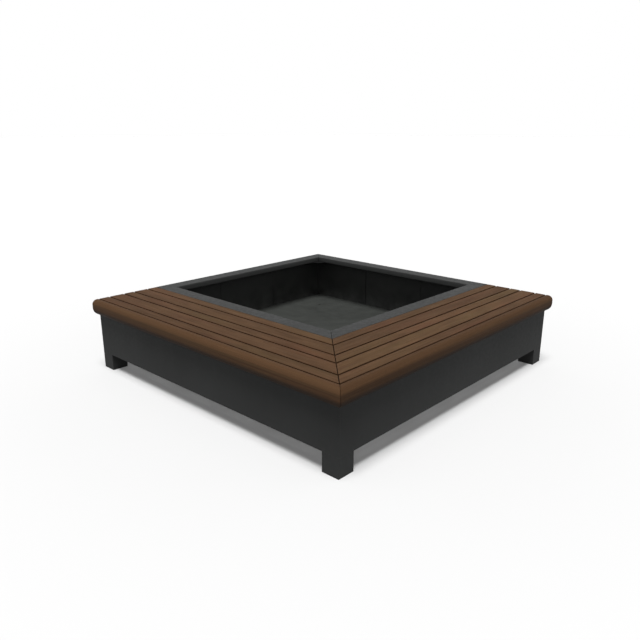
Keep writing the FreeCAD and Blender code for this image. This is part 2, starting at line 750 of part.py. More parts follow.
def add_bench(nodes):
    """Bearers, boards and rounded boards of both benches."""
    for index, x in enumerate(bearer_places(), start=1):
        bearer = make_bearer(x)
        nodes["front_bearer_%d" % index] = [bearer]
        nodes["right_bearer_%d" % index] = [mirrored(bearer)]
    nodes["mitre_bearer"] = [make_mitre_bearer()]
    for index, (low, high) in enumerate(slat_bands(), start=1):
        slat = make_front_slat(low, high)
        nodes["front_slat_%d" % index] = [slat]
        nodes["right_slat_%d" % index] = [mirrored(slat)]
    bullnose = make_front_bullnose()
    nodes["front_bullnose"] = [bullnose]
    nodes["right_bullnose"] = [mirrored(bullnose)]


def add_fasteners(nodes):
    """Screws, studs and nuts of the benches, each kind as one group."""
    groups = {
        "slat_screws": [slat_screw(x, y) for x, y in slat_screw_places()],
        "bullnose_screws": [bullnose_screw(x) for x in bullnose_screw_places()],
        "wing_studs": [stud(x, z) for x, z in stud_places()],
        "wing_nuts": [stud_nut(x, z) for x, z in stud_places()],
    }
    for name, shapes in groups.items():
        nodes[name] = shapes + [mirrored(shape) for shape in shapes]


def main():
    """Build every node and write it to the parts folder."""
    os.makedirs("parts", exist_ok=True)
    nodes = {}
    for add in (add_casing, add_legs, add_planter, add_base, add_bench, add_fasteners):
        add(nodes)
    for name, solids in sorted(nodes.items()):
        shape = solids[0] if len(solids) == 1 else Part.makeCompound(solids)
        count = len(shape.Solids)
        volume = shape.Volume / 1000.0
        print("%-22s %3d solids %10.1f cm3 valid %s" % (name, count, volume, shape.isValid()))
        shape.exportStep(os.path.join("parts", name + ".step"))


main()
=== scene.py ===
"""Looks of a square steel planter with a mitred hardwood bench along two sides.

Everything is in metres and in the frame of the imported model: the origin is on
the ground at the centre of the square body, +Z points up, -Y is the front bench
and +X is the right bench. The right bench mirrors the front bench across the
upright plane through the near corner (+X, -Y) and the rear corner.
"""

import logging
import math
from collections.abc import Iterable, Mapping, Sequence
from dataclasses import dataclass, field
from enum import Enum

import bmesh
import bpy
from mathutils import Matrix, Vector


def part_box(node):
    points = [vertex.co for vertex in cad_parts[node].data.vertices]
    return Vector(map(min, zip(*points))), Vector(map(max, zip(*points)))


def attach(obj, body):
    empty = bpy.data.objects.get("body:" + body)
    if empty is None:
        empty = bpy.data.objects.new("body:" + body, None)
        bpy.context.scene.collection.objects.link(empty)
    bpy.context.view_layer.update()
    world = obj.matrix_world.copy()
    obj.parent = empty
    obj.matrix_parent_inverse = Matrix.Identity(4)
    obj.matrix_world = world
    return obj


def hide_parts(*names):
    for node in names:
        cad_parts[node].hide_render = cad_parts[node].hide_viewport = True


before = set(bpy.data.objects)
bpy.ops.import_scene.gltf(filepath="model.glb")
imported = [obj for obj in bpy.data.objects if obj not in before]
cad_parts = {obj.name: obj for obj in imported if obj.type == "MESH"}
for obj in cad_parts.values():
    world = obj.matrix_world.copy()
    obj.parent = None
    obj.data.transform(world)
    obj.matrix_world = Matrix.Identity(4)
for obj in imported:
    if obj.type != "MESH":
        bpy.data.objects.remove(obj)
log = logging.getLogger("planter_bench")

Colour = tuple[float, float, float]
Point = tuple[float, float, float]
Pair = tuple[float, float]  # two numbers that belong together, such as a radius and a height
Stand = tuple[Point, Point]  # the place of a small part, and the direction that it faces
Socket = bpy.types.NodeSocket

# Values stored on the timber's points, for its material.
GRAIN = "grain_place"  # place in the log that the point was sawn from
TONE = "board_tone"  # how light the board is, against the mean
EDGE = "edge_room"  # room to the board's two long edges and to its mitred end

WAVE_STEP = 0.314  # distance between the waves of a wave texture of scale 1
MERGE_DISTANCE = 1e-6  # points nearer than this, in metres, are one point
SHARP_ANGLE = math.radians(34.0)  # edges that bend more than this stay sharp


class BenchSide(Enum):
    """The two bench sides of the body."""

    FRONT = "front"
    RIGHT = "right"


class RimSide(Enum):
    """The four sides of the planter's rim."""

    FRONT = "front"
    RIGHT = "right"
    LEFT = "left"
    REAR = "rear"


MIRROR = Matrix(((0, -1, 0, 0), (-1, 0, 0, 0), (0, 0, 1, 0), (0, 0, 0, 1)))
QUARTER = Matrix.Rotation(math.radians(-90.0), 4, "Z")


def mirrored_point(point: Point) -> Point:
    """The twin of a point or direction of the front bench, on the right bench."""
    return (-point[1], -point[0], point[2])


def tinted(colour: Colour, factor: float, lift: float = 0.0) -> Colour:
    """The colour, lighter or darker by a factor and then lifted by an amount."""
    return tuple(channel * factor + lift for channel in colour)


def with_alpha(colour: object) -> object:
    """A plain colour as four numbers, or a socket as it is."""
    return (*colour, 1.0) if isinstance(colour, tuple) else colour


class NodeSheet:
    """Short hand for filling one node tree."""

    def __init__(self, tree: bpy.types.NodeTree) -> None:
        """Keeps the empty shader or geometry node tree that is filled."""
        self.tree = tree

    def add(
        self, kind: str, inputs: Mapping[str | int, object] | None = None, **settings: object
    ) -> bpy.types.Node:
        """Adds a node, sets it and fills its inputs.

        Args:
            kind: The node's type name.
            inputs: Input name or number to a value, or to the socket that feeds it.
            **settings: Properties of the node itself.

        Returns:
            The new node.
        """
        node = self.tree.nodes.new(kind)
        for name, value in settings.items():
            setattr(node, name, value)
        for key, value in (inputs or {}).items():
            self.feed(node.inputs[key], value)
        return node

    def feed(self, socket: Socket, value: object) -> None:
        """Links or sets one input.

        Args:
            socket: The input.
            value: A socket to link, or a plain value.
        """
        if isinstance(value, Socket):
            self.tree.links.new(value, socket)
        else:
            socket.default_value = value

    def sum_up(self, kind: str, *values: object) -> Socket:
        """The number that a maths node of this kind makes of the values."""
        return self.add("ShaderNodeMath", dict(enumerate(values)), operation=kind).outputs[0]

    def vector_sum(self, kind: str, *values: object) -> Socket:
        """The vector that a vector maths node of this kind makes of the vectors."""
        return self.add("ShaderNodeVectorMath", dict(enumerate(values)), operation=kind).outputs[0]

    def split(self, vector: object) -> Mapping[str, Socket]:
        """The X, Y and Z of a vector."""
        return self.add("ShaderNodeSeparateXYZ", {0: vector}).outputs

    def joined(self, x: object, y: object, z: object) -> Socket:
        """The vector of three numbers."""
        return self.add("ShaderNodeCombineXYZ", {"X": x, "Y": y, "Z": z}).outputs[0]

    def stretch(
        self, value: object, low: float, high: float, new_low: float, new_high: float
    ) -> Socket:
        """Maps a range of numbers to another and clamps it there.

        Args:
            value: The number.
            low: Start of its range.
            high: End of its range.
            new_low: What the start becomes.
            new_high: What the end becomes.

        Returns:
            The mapped number.
        """
        ends = {"From Min": low, "From Max": high, "To Min": new_low, "To Max": new_high}
        node = self.add("ShaderNodeMapRange", {"Value": value, **ends}, clamp=True)
        return node.outputs["Result"]


class ShaderSheet(NodeSheet):
    """A material's node tree, with the patterns that several finishes share."""

    def __init__(self, name: str) -> None:
        """Starts a material with one principled shader.

        Args:
            name: The finish's name.
        """
        self.material = bpy.data.materials.new(name)
        self.material.use_nodes = True
        super().__init__(self.material.node_tree)
        self.tree.nodes.clear()
        self.shader = self.add("ShaderNodeBsdfPrincipled")
        self.add("ShaderNodeOutputMaterial", {"Surface": self.shader.outputs["BSDF"]})

    def place(self) -> Socket:
        """Place on the object, in metres."""
        return self.add("ShaderNodeTexCoord").outputs["Object"]

    def turned_up(self) -> Socket:
        """How far a face is turned up: 1 upwards, 0 upright, -1 downwards."""
        return self.split(self.add("ShaderNodeNewGeometry").outputs["Normal"])["Z"]

    def scaled(self, vector: object, scale: Point) -> Socket:
        """The vector, stretched by a factor on each axis."""
        return self.vector_sum("MULTIPLY", vector, scale)

    def noise(
        self, vector: object, scale: float, detail: float = 3.0, roughness: float = 0.5
    ) -> Socket:
        """Soft cloud pattern around 0.5, with detail and roughness of its finer clouds."""
        inputs = {"Vector": vector, "Scale": scale, "Detail": detail, "Roughness": roughness}
        return self.add("ShaderNodeTexNoise", inputs).outputs["Fac"]

    def blend(self, share: object, first: object, second: object, kind: str = "MIX") -> Socket:
        """Mixes two colours.

        Args:
            share: Share of the second colour.
            first: Colour or socket.
            second: Colour or socket.
            kind: Way of mixing.

        Returns:
            The mixed colour.
        """
        node = self.add("ShaderNodeMix", data_type="RGBA", blend_type=kind)
        sockets = [s for s in node.inputs if s.type == "RGBA"]
        self.feed(node.inputs[0], share)
        for socket, value in zip(sockets, (first, second)):
            self.feed(socket, with_alpha(value))
        return next(s for s in node.outputs if s.type == "RGBA")

    def edge_mask(self, radius: float) -> tuple[Socket, Socket]:
        """Finds sharp edges.

        Args:
            radius: How far from an edge the mask reaches, in metres.

        Returns:
            The mask, 1 at an edge, and the rounded normal.
        """
        round_normal = self.add("ShaderNodeBevel", {"Radius": radius}, samples=6).outputs["Normal"]
        normals = {0: round_normal, 1: self.add("ShaderNodeNewGeometry").outputs["True Normal"]}
        likeness = self.add("ShaderNodeVectorMath", normals, operation="DOT_PRODUCT")
        return self.stretch(likeness.outputs["Value"], 0.98, 0.80, 0.0, 1.0), round_normal

    def relief(
        self, pattern: object, strength: float, height: float, normal: object | None = None
    ) -> Socket:
        """Lays small bumps on the surface.

        Args:
            pattern: Pattern of the bumps.
            strength: How strongly they show.
            height: How high they are, in metres.
            normal: Normal that they are laid on, if it isn't the face's own.

        Returns:
            The bumped normal.
        """
        inputs = {"Strength": strength, "Distance": height, "Height": pattern}
        bump = self.add("ShaderNodeBump", inputs)
        if normal is not None:
            self.feed(bump.inputs["Normal"], normal)
        return bump.outputs["Normal"]

    def finish(
        self, colour: object, roughness: object, normal: object | None = None
    ) -> bpy.types.Material:
        """Feeds the shader.

        Args:
            colour: Base colour.
            roughness: Roughness.
            normal: Normal, if the finish has relief.

        Returns:
            The finished material.
        """
        self.feed(self.shader.inputs["Base Color"], with_alpha(colour))
        self.feed(self.shader.inputs["Roughness"], roughness)
        if normal is not None:
            self.feed(self.shader.inputs["Normal"], normal)
        return self.material


@dataclass(frozen=True)
class PowderCoat:
    """Fine-textured powder coat on steel sheet.

    Attributes:
        name: Name of the finish.
        colour: Body colour, linear.
        edge_colour: Colour on sharp edges, where the coat is thin and rubbed.
        roughness: Mean roughness.
        gloss: Specular level.
        pimple: Size of the coat's fine texture, in metres.
        dust: How much pale dust lies in the pattern.
        splash_and_floor_light: How much lighter the coat is near the ground: splash dirt and
            painted floor light.
        splash_and_floor_light_top: Height that it reaches.
        upright_painted_light: How much painted light lifts faces that are upright or turned down.
        edge_width: How far the rubbed coat reaches from a sharp edge, in metres.
        relief: How high the fine texture is, in metres.
    """

    name: str
    colour: Colour
    edge_colour: Colour
    roughness: float = 0.52
    gloss: float = 0.12
    pimple: float = 0.0016
    dust: float = 0.1
    splash_and_floor_light: float = 0.5
    splash_and_floor_light_top: float = 0.34
    upright_painted_light: float = 0.0
    edge_width: float = 0.0016
    relief: float = 0.0004

    def material(self) -> bpy.types.Material:
        """Mixes the coat: clouds, streaks, splash marks, dust, rubbed edges and fine texture,
        with painted light near the ground and on upright faces.

        Returns:
            The coat's material.
        """
        sheet = ShaderSheet(self.name)
        place = sheet.place()
        clouds = sheet.noise(place, 1.7, 4.0)
        streaks = sheet.noise(sheet.scaled(place, (16.0, 16.0, 1.1)), 1.0, 4.0, 0.6)
        mottle = sheet.noise(place, 46.0, 3.0)
        light = tinted(self.colour, 1.12, 0.0008)
        dark = tinted(self.colour, 0.90)
        # Pale dust colour, which the masks below also lay on as painted light.
        dirt = tinted(self.colour, 1.6, 0.008)
        base = sheet.blend(sheet.stretch(clouds, 0.32, 0.68, 0.0, 1.0), dark, light)
        base = sheet.blend(sheet.stretch(mottle, 0.35, 0.75, 0.0, 0.22), base, light)
        dusty = sheet.sum_up("MULTIPLY", sheet.stretch(streaks, 0.5, 0.78, 0.0, 1.0), self.dust)
        base = sheet.blend(dusty, base, dirt)
        # Lighter near the ground: splash dirt, and painted light that stands in for floor light.
        low = sheet.stretch(sheet.split(place)["Z"], 0.02, self.splash_and_floor_light_top, self.splash_and_floor_light, 0.0)
        splashed_and_floor_lit = sheet.sum_up("MULTIPLY", low, sheet.stretch(mottle, 0.3, 0.7, 0.6, 1.0))
        base = sheet.blend(splashed_and_floor_lit, base, dirt)
        # Painted light: faces upright or turned down are lifted towards the pale colour.
        upright = sheet.stretch(sheet.turned_up(), 0.3, 0.9, self.upright_painted_light, 0.0)
        base = sheet.blend(upright, base, dirt)
        mask, round_normal = sheet.edge_mask(self.edge_width)
        wear = sheet.stretch(sheet.noise(place, 60.0, 4.0), 0.4, 0.62, 0.15, 0.85)
        base = sheet.blend(sheet.sum_up("MULTIPLY", mask, wear), base, self.edge_colour)
        pimples = sheet.noise(place, 1.0 / self.pimple, 2.0, 0.6)
        normal = sheet.relief(pimples, 0.22, self.relief, round_normal)
        rough = sheet.stretch(mottle, 0.3, 0.7, self.roughness - 0.05, self.roughness + 0.07)
        sheet.shader.inputs["Specular IOR Level"].default_value = self.gloss
        return sheet.finish(base, rough, normal)


@dataclass(frozen=True)
class TubCoat:
    """Matt coating inside the planting tub, with dust and dried rain marks.

    Attributes:
        name: Name of the finish.
        colour: Body colour, linear.
        dust_colour: Colour of the dust.
        floor_height: Height of the tub's floor.
        dust_reach: How far dust climbs above the floor.
        gloss: Specular level.
        edge_width: How far the rubbed coat reaches from a sharp edge, in metres.
        relief: How high the coating's grain is, in metres.
    """

    name: str
    colour: Colour
    dust_colour: Colour
    floor_height: float = 0.106
    dust_reach: float = 0.05
    gloss: float = 0.2
    edge_width: float = 0.0014
    relief: float = 0.0005

    def material(self) -> bpy.types.Material:
        """Mixes the coating: clouds, drips, dust near the floor and fine relief.

        Returns:
            The coating's material.
        """
        sheet = ShaderSheet(self.name)
        place = sheet.place()
        clouds = sheet.noise(place, 2.3, 5.0, 0.55)
        drips = sheet.noise(sheet.scaled(place, (22.0, 22.0, 1.6)), 1.0, 5.0, 0.6)
        rings = sheet.noise(place, 9.0, 6.0, 0.65)
        dark = tinted(self.colour, 0.80)
        light = tinted(self.colour, 1.18)
        base = sheet.blend(sheet.stretch(clouds, 0.3, 0.7, 0.0, 1.0), dark, light)
        base = sheet.blend(sheet.stretch(drips, 0.52, 0.8, 0.0, 0.3), base, dark)
        dust_top = self.floor_height + self.dust_reach
        low = sheet.stretch(sheet.split(place)["Z"], self.floor_height, dust_top, 0.55, 0.0)
        dusty = sheet.sum_up("MULTIPLY", low, sheet.stretch(rings, 0.38, 0.66, 0.1, 1.0))
        base = sheet.blend(dusty, base, self.dust_colour)
        mask, round_normal = sheet.edge_mask(self.edge_width)
        base = sheet.blend(sheet.sum_up("MULTIPLY", mask, 0.5), base, light)
        grains = sheet.noise(place, 420.0, 3.0, 0.6)
        normal = sheet.relief(grains, 0.25, self.relief, round_normal)
        rough = sheet.stretch(rings, 0.3, 0.7, 0.6, 0.82)
        sheet.shader.inputs["Specular IOR Level"].default_value = self.gloss
        return sheet.finish(base, rough, normal)


@dataclass(frozen=True)
class OiledHardwood:
    """Oiled brown hardwood, sawn lengthwise, that follows each board's own grain.

    Attributes:
        name: Name of the finish.
        pale: Colour of the early wood.
        brown: Main colour.
        dark: Colour of the late wood lines and pores.
        red: Warm patches.
        olive: Greenish patches.
        grime: Colour of the dirt in gaps and at cut ends.
        skin: Colour of the painted shade on faces turned sideways and to the ground.
        ring_step: Distance between growth rings, in metres.
        roughness: Mean roughness.
        gloss: Specular level.
        turned_down_shade_share: How much of that painted shade a face has that is turned right
            down.
        sway: How far the growth rings sway to the side, in metres.
        relief: How high fibres and pores stand, in metres.
    """

    name: str
    pale: Colour
    brown: Colour
    dark: Colour
    red: Colour
    olive: Colour
    grime: Colour
    skin: Colour
    ring_step: float = 0.0065
    roughness: float = 0.62
    gloss: float = 0.03
    turned_down_shade_share: float = 0.9
    sway: float = 0.028
    relief: float = 0.0006

    def room_to_edges(self, sheet: ShaderSheet) -> Socket:
        """Finds how far a point of a board is from its nearest edge.

        Args:
            sheet: The timber's node tree.

        Returns:
            The distance in metres; the mitred end counts two and a half times as far.
        """
        edges = sheet.add("ShaderNodeAttribute", attribute_name=EDGE).outputs["Vector"]
        edges = sheet.split(edges)
        end = sheet.sum_up("MULTIPLY", edges["Z"], 2.5)
        return sheet.sum_up("MINIMUM", sheet.sum_up("MINIMUM", edges["X"], edges["Y"]), end)

    def swayed(self, sheet: ShaderSheet, place: Socket) -> Socket:
        """Lets the grain sway from side to side along the log.

        Args:
            sheet: The timber's node tree.
            place: Place in the log.

        Returns:
            The place that the rings and fibres read.
        """
        slow = {"Vector": sheet.scaled(place, (1.1, 7.0, 7.0)), "Scale": 1.0, "Detail": 3.0}
        sway = sheet.add("ShaderNodeTexNoise", slow).outputs["Color"]
        sway = sheet.vector_sum("SUBTRACT", sway, (0.5, 0.5, 0.5))
        return sheet.vector_sum("ADD", place, sheet.scaled(sway, (0.0, self.sway, self.sway)))

    def growth_rings(self, sheet: ShaderSheet, place: Socket) -> Socket:
        """Lays growth rings round the log's length.

        Args:
            sheet: The timber's node tree.
            place: Place in the log, swayed.

        Returns:
            The pattern, which rises from 0 to 1 across each ring.
        """
        inputs = {
            "Vector": place,
            "Scale": WAVE_STEP / self.ring_step,
            "Distortion": 1.2,
            "Detail": 3.0,
            "Detail Scale": 1.5,
            "Detail Roughness": 0.55,
        }
        kinds = {"wave_type": "RINGS", "rings_direction": "X", "wave_profile": "SAW"}
        return sheet.add("ShaderNodeTexWave", inputs, **kinds).outputs["Fac"]

    def material(self) -> bpy.types.Material:
        """Mixes the timber: rings, fibres, pores, patches, dirty edges and painted shade below.

        Returns:
            The timber's material.
        """
        sheet = ShaderSheet(self.name)
        place = sheet.add("ShaderNodeAttribute", attribute_name=GRAIN).outputs["Vector"]
        tone = sheet.add("ShaderNodeAttribute", attribute_name=TONE).outputs["Fac"]
        room = self.room_to_edges(sheet)
        swayed = self.swayed(sheet, place)
        rings = self.growth_rings(sheet, swayed)
        fibres = sheet.noise(sheet.scaled(swayed, (5.0, 330.0, 330.0)), 1.0, 5.0, 0.62)
        strands = sheet.noise(sheet.scaled(place, (2.2, 60.0, 60.0)), 1.0, 4.0, 0.55)
        pores = sheet.noise(sheet.scaled(place, (55.0, 1700.0, 1700.0)), 1.0, 2.0, 0.5)
        warm = sheet.noise(sheet.scaled(place, (1.6, 9.0, 9.0)), 1.0, 3.0)
        cool = sheet.vector_sum("ADD", sheet.scaled(place, (1.3, 7.0, 7.0)), (4.0, 9.0, 2.0))
        cool = sheet.noise(cool, 1.0, 3.0)
        base = sheet.blend(sheet.stretch(strands, 0.34, 0.66, 0.0, 1.0), self.brown, self.pale)
        base = sheet.blend(sheet.stretch(rings, 0.55, 1.0, 0.0, 0.42), base, self.dark)
        base = sheet.blend(sheet.stretch(fibres, 0.42, 0.70, 0.0, 0.45), base, self.dark)
        base = sheet.blend(sheet.stretch(warm, 0.46, 0.70, 0.0, 0.6), base, self.red)
        base = sheet.blend(sheet.stretch(cool, 0.48, 0.72, 0.0, 0.5), base, self.olive)
        pore = sheet.stretch(pores, 0.60, 0.70, 0.0, 1.0)
        base = sheet.blend(sheet.sum_up("MULTIPLY", pore, 0.55), base, tinted(self.dark, 0.55))
        uneven = sheet.sum_up("SUBTRACT", strands, 0.5)
        ragged = sheet.sum_up("MULTIPLY_ADD", uneven, -0.006, room)
        base = sheet.blend(sheet.stretch(ragged, 0.0, 0.008, 0.26, 0.0), base, self.dark)
        base = sheet.blend(sheet.stretch(room, 0.0004, 0.0026, 0.6, 0.0), base, self.grime)
        # Painted shade: faces turned sideways and down darken towards skin.
        turned_down_shade = sheet.sum_up("MULTIPLY_ADD", uneven, 0.35, sheet.turned_up())
        turned_down_shade = sheet.stretch(turned_down_shade, 0.22, -0.42, 0.0, self.turned_down_shade_share)
        base = sheet.blend(turned_down_shade, base, self.skin)
        patches = sheet.vector_sum("ADD", sheet.scaled(place, (4.5, 16.0, 16.0)), (2.0, 5.0, 8.0))
        patches = sheet.stretch(sheet.noise(patches, 1.0, 3.0), 0.36, 0.64, 0.90, 1.10)
        level = sheet.sum_up("MULTIPLY", tone, patches)
        grey = sheet.add("ShaderNodeCombineColor", {0: level, 1: level, 2: level}).outputs[0]
        base = sheet.blend(1.0, base, grey, "MULTIPLY")
        raised, sunk = sheet.sum_up("MULTIPLY", fibres, 0.7), sheet.sum_up("MULTIPLY", pore, 0.5)
        pattern = sheet.sum_up("SUBTRACT", raised, sunk)
        pattern = sheet.sum_up("ADD", pattern, sheet.sum_up("MULTIPLY", rings, 0.25))
        normal = sheet.relief(pattern, 0.35, self.relief)
        rough = sheet.stretch(fibres, 0.3, 0.7, self.roughness - 0.08, self.roughness + 0.1)
        sheet.shader.inputs["Specular IOR Level"].default_value = self.gloss
        return sheet.finish(base, rough, normal)


@dataclass(frozen=True)
class ZincPlate:
    """Bright zinc on fasteners.

    Attributes:
        name: Name of the finish.
        colour: Metal colour.
        stain: Colour of dull spots.
        edge_width: How far the rubbed plating reaches from a sharp edge, in metres.
        relief: How high the spots stand, in metres.
    """

    name: str
    colour: Colour = (0.46, 0.47, 0.48)
    stain: Colour = (0.30, 0.29, 0.26)
    edge_width: float = 0.0004
    relief: float = 0.0001

    def material(self) -> bpy.types.Material:
        """Mixes the plating: fine spangle, dull spots, bright edges and faint relief.

        Returns:
            The plating's material.
        """
        sheet = ShaderSheet(self.name)
        place = sheet.place()
        cells = sheet.add("ShaderNodeTexVoronoi", {"Vector": place, "Scale": 900.0})
        grey = sheet.add("ShaderNodeSeparateColor", {0: cells.outputs["Color"]}).outputs[0]
        spots = sheet.noise(place, 130.0, 4.0, 0.6)
        spangle = sheet.stretch(grey, 0.0, 1.0, 0.0, 0.3)
        base = sheet.blend(spangle, self.colour, tinted(self.colour, 1.3))
        base = sheet.blend(sheet.stretch(spots, 0.5, 0.72, 0.0, 0.8), base, self.stain)
        mask, round_normal = sheet.edge_mask(self.edge_width)
        base = sheet.blend(sheet.sum_up("MULTIPLY", mask, 0.4), base, tinted(self.colour, 1.4))
        normal = sheet.relief(spots, 0.15, self.relief, round_normal)
        sheet.shader.inputs["Metallic"].default_value = 1.0
        return sheet.finish(base, sheet.stretch(spots, 0.35, 0.7, 0.32, 0.55), normal)


@dataclass(frozen=True)
class MouldedRubber:
    """Black moulded rubber of the levelling feet.

    Attributes:
        name: Name of the finish.
        colour: Rubber colour.
        dust: Colour of the dirt on it.
        gloss: Specular level.
        relief: How high the moulded skin's grain is, in metres.
    """

    name: str
    colour: Colour = (0.018, 0.018, 0.018)
    dust: Colour = (0.085, 0.080, 0.072)
    gloss: float = 0.3
    relief: float = 0.0003

    def material(self) -> bpy.types.Material:
        """Mixes the rubber: dull skin, dirt near the ground and fine relief.

        Returns:
            The rubber's material.
        """
        sheet = ShaderSheet(self.name)
        place = sheet.place()
        clouds = sheet.noise(place, 55.0, 5.0, 0.6)
        low = sheet.stretch(sheet.split(place)["Z"], 0.0, 0.012, 0.55, 0.05)
        base = sheet.blend(sheet.sum_up("MULTIPLY", low, clouds), self.colour, self.dust)
        normal = sheet.relief(sheet.noise(place, 900.0, 2.0), 0.3, self.relief)
        sheet.shader.inputs["Specular IOR Level"].default_value = self.gloss
        return sheet.finish(base, sheet.stretch(clouds, 0.3, 0.7, 0.62, 0.8), normal)


@dataclass(frozen=True)
class FloorPaint:
    """Plain pale floor of the studio, which gives off a little light of its own.

    Attributes:
        name: Name of the finish.
        shade: How much light it returns.
        glow: How much light it gives off round the object.
        far_glow: How much light it gives off farther out.
        glow_from: Distance from the middle up to which it has the first glow.
        glow_to: Distance from the middle from which it has the second glow.
        roughness: Its roughness.
    """

    name: str
    shade: float = 0.475
    glow: float = 0.096
    far_glow: float = 0.125
    glow_from: float = 1.7
    glow_to: float = 4.5
    roughness: float = 0.95

    def material(self) -> bpy.types.Material:
        """Mixes the floor: one matt shade, with a glow that rises away from the object.

        Returns:
            The floor's material.
        """
        sheet = ShaderSheet(self.name)
        sheet.shader.inputs["Specular IOR Level"].default_value = 0.0
        sheet.shader.inputs["Emission Color"].default_value = (1.0, 1.0, 1.0, 1.0)
        away = sheet.add("ShaderNodeVectorMath", {0: sheet.place()}, operation="LENGTH")
        ends = (self.glow_from, self.glow_to, self.glow, self.far_glow)
        glow = sheet.stretch(away.outputs["Value"], *ends)
        sheet.feed(sheet.shader.inputs["Emission Strength"], glow)
        return sheet.finish((self.shade,) * 3, self.roughness)


@dataclass(frozen=True)
class Finishes:
    """The materials of the whole object, made once.

    Attributes:
        casing: Coat of the casing and legs.
        rim: Coat of the planter's rim, glossier than the casing, with painted light on upright
            faces.
        corner: Coat of the plates in the rim's corners, darkened to paint the shade under the rim.
        tub: Coat of the planting tub's walls.
        joint: Black sealant behind the wall seams, with painted shade there and in the drain
            spouts.
        tub_floor: Coat of the planting tub's floor.
        iron: Coat of the hidden bearers and beams.
        timber: Boards and rounded boards.
        zinc: Fasteners.
        rubber: Foot pads.
    """

    casing: bpy.types.Material
    rim: bpy.types.Material
    corner: bpy.types.Material
    tub: bpy.types.Material
    joint: bpy.types.Material
    tub_floor: bpy.types.Material
    iron: bpy.types.Material
    timber: bpy.types.Material
    zinc: bpy.types.Material
    rubber: bpy.types.Material

    @classmethod
    def mixed(cls) -> "Finishes":
        """Mixes every finish of the object.

        Returns:
            The finishes, ready to use.
        """
        return cls(
            casing=PowderCoat(
                "anthracite_coat",
                colour=(0.0161, 0.0166, 0.0164),
                edge_colour=(0.038, 0.040, 0.039),
                gloss=0.040,
                # splash also paints floor light on the lower casing.
                splash_and_floor_light=0.55,
            ).material(),
            rim=PowderCoat(
                "rim_coat",
                colour=(0.0158, 0.0163, 0.0160),
                edge_colour=(0.044, 0.046, 0.045),
                gloss=0.150,
                # upright_painted_light paints light on the rim's lip and other upright faces.
                upright_painted_light=0.75,
            ).material(),
            # Dark corner plates: painted shade under the rim's corners.
            corner=PowderCoat(
                "corner_shade_coat",
                colour=(0.0092, 0.0095, 0.0094),
                edge_colour=(0.020, 0.021, 0.0205),
                gloss=0.045,
                dust=0.02,
                splash_and_floor_light=0.0,
            ).material(),
            tub=TubCoat(
                "tub_coat",
                colour=(0.0184, 0.0191, 0.0186),
                dust_colour=(0.066, 0.069, 0.064),
                dust_reach=0.25,
            ).material(),
            # Black sealant behind the wall seams, also painted shade there and in the drain spouts.
            joint=TubCoat(
                "seam_sealant_shade_coat", colour=(0.0080, 0.0080, 0.0082), dust_colour=(0.020, 0.020, 0.020)
            ).material(),
            tub_floor=TubCoat(
                "tub_floor_coat", colour=(0.0232, 0.0248, 0.0227), dust_colour=(0.031, 0.033, 0.030)
            ).material(),
            iron=PowderCoat(
                "frame_coat",
                colour=(0.028, 0.028, 0.029),
                edge_colour=(0.056, 0.056, 0.058),
                roughness=0.58,
                dust=0.35,
            ).material(),
            timber=OiledHardwood(
                "oiled_hardwood",
                pale=(0.0712, 0.0397, 0.0205),
                brown=(0.0575, 0.0302, 0.0150),
                dark=(0.0318, 0.0155, 0.0073),
                red=(0.0672, 0.0294, 0.0160),
                olive=(0.0533, 0.0355, 0.0152),
                grime=(0.015, 0.0065, 0.0030),
                # skin is painted shade on faces turned down, such as the rounded boards' lower
                # halves.
                skin=(0.0160, 0.0112, 0.0086),
            ).material(),
            zinc=ZincPlate("bright_zinc").material(),
            rubber=MouldedRubber("foot_rubber_skin").material(),
        )


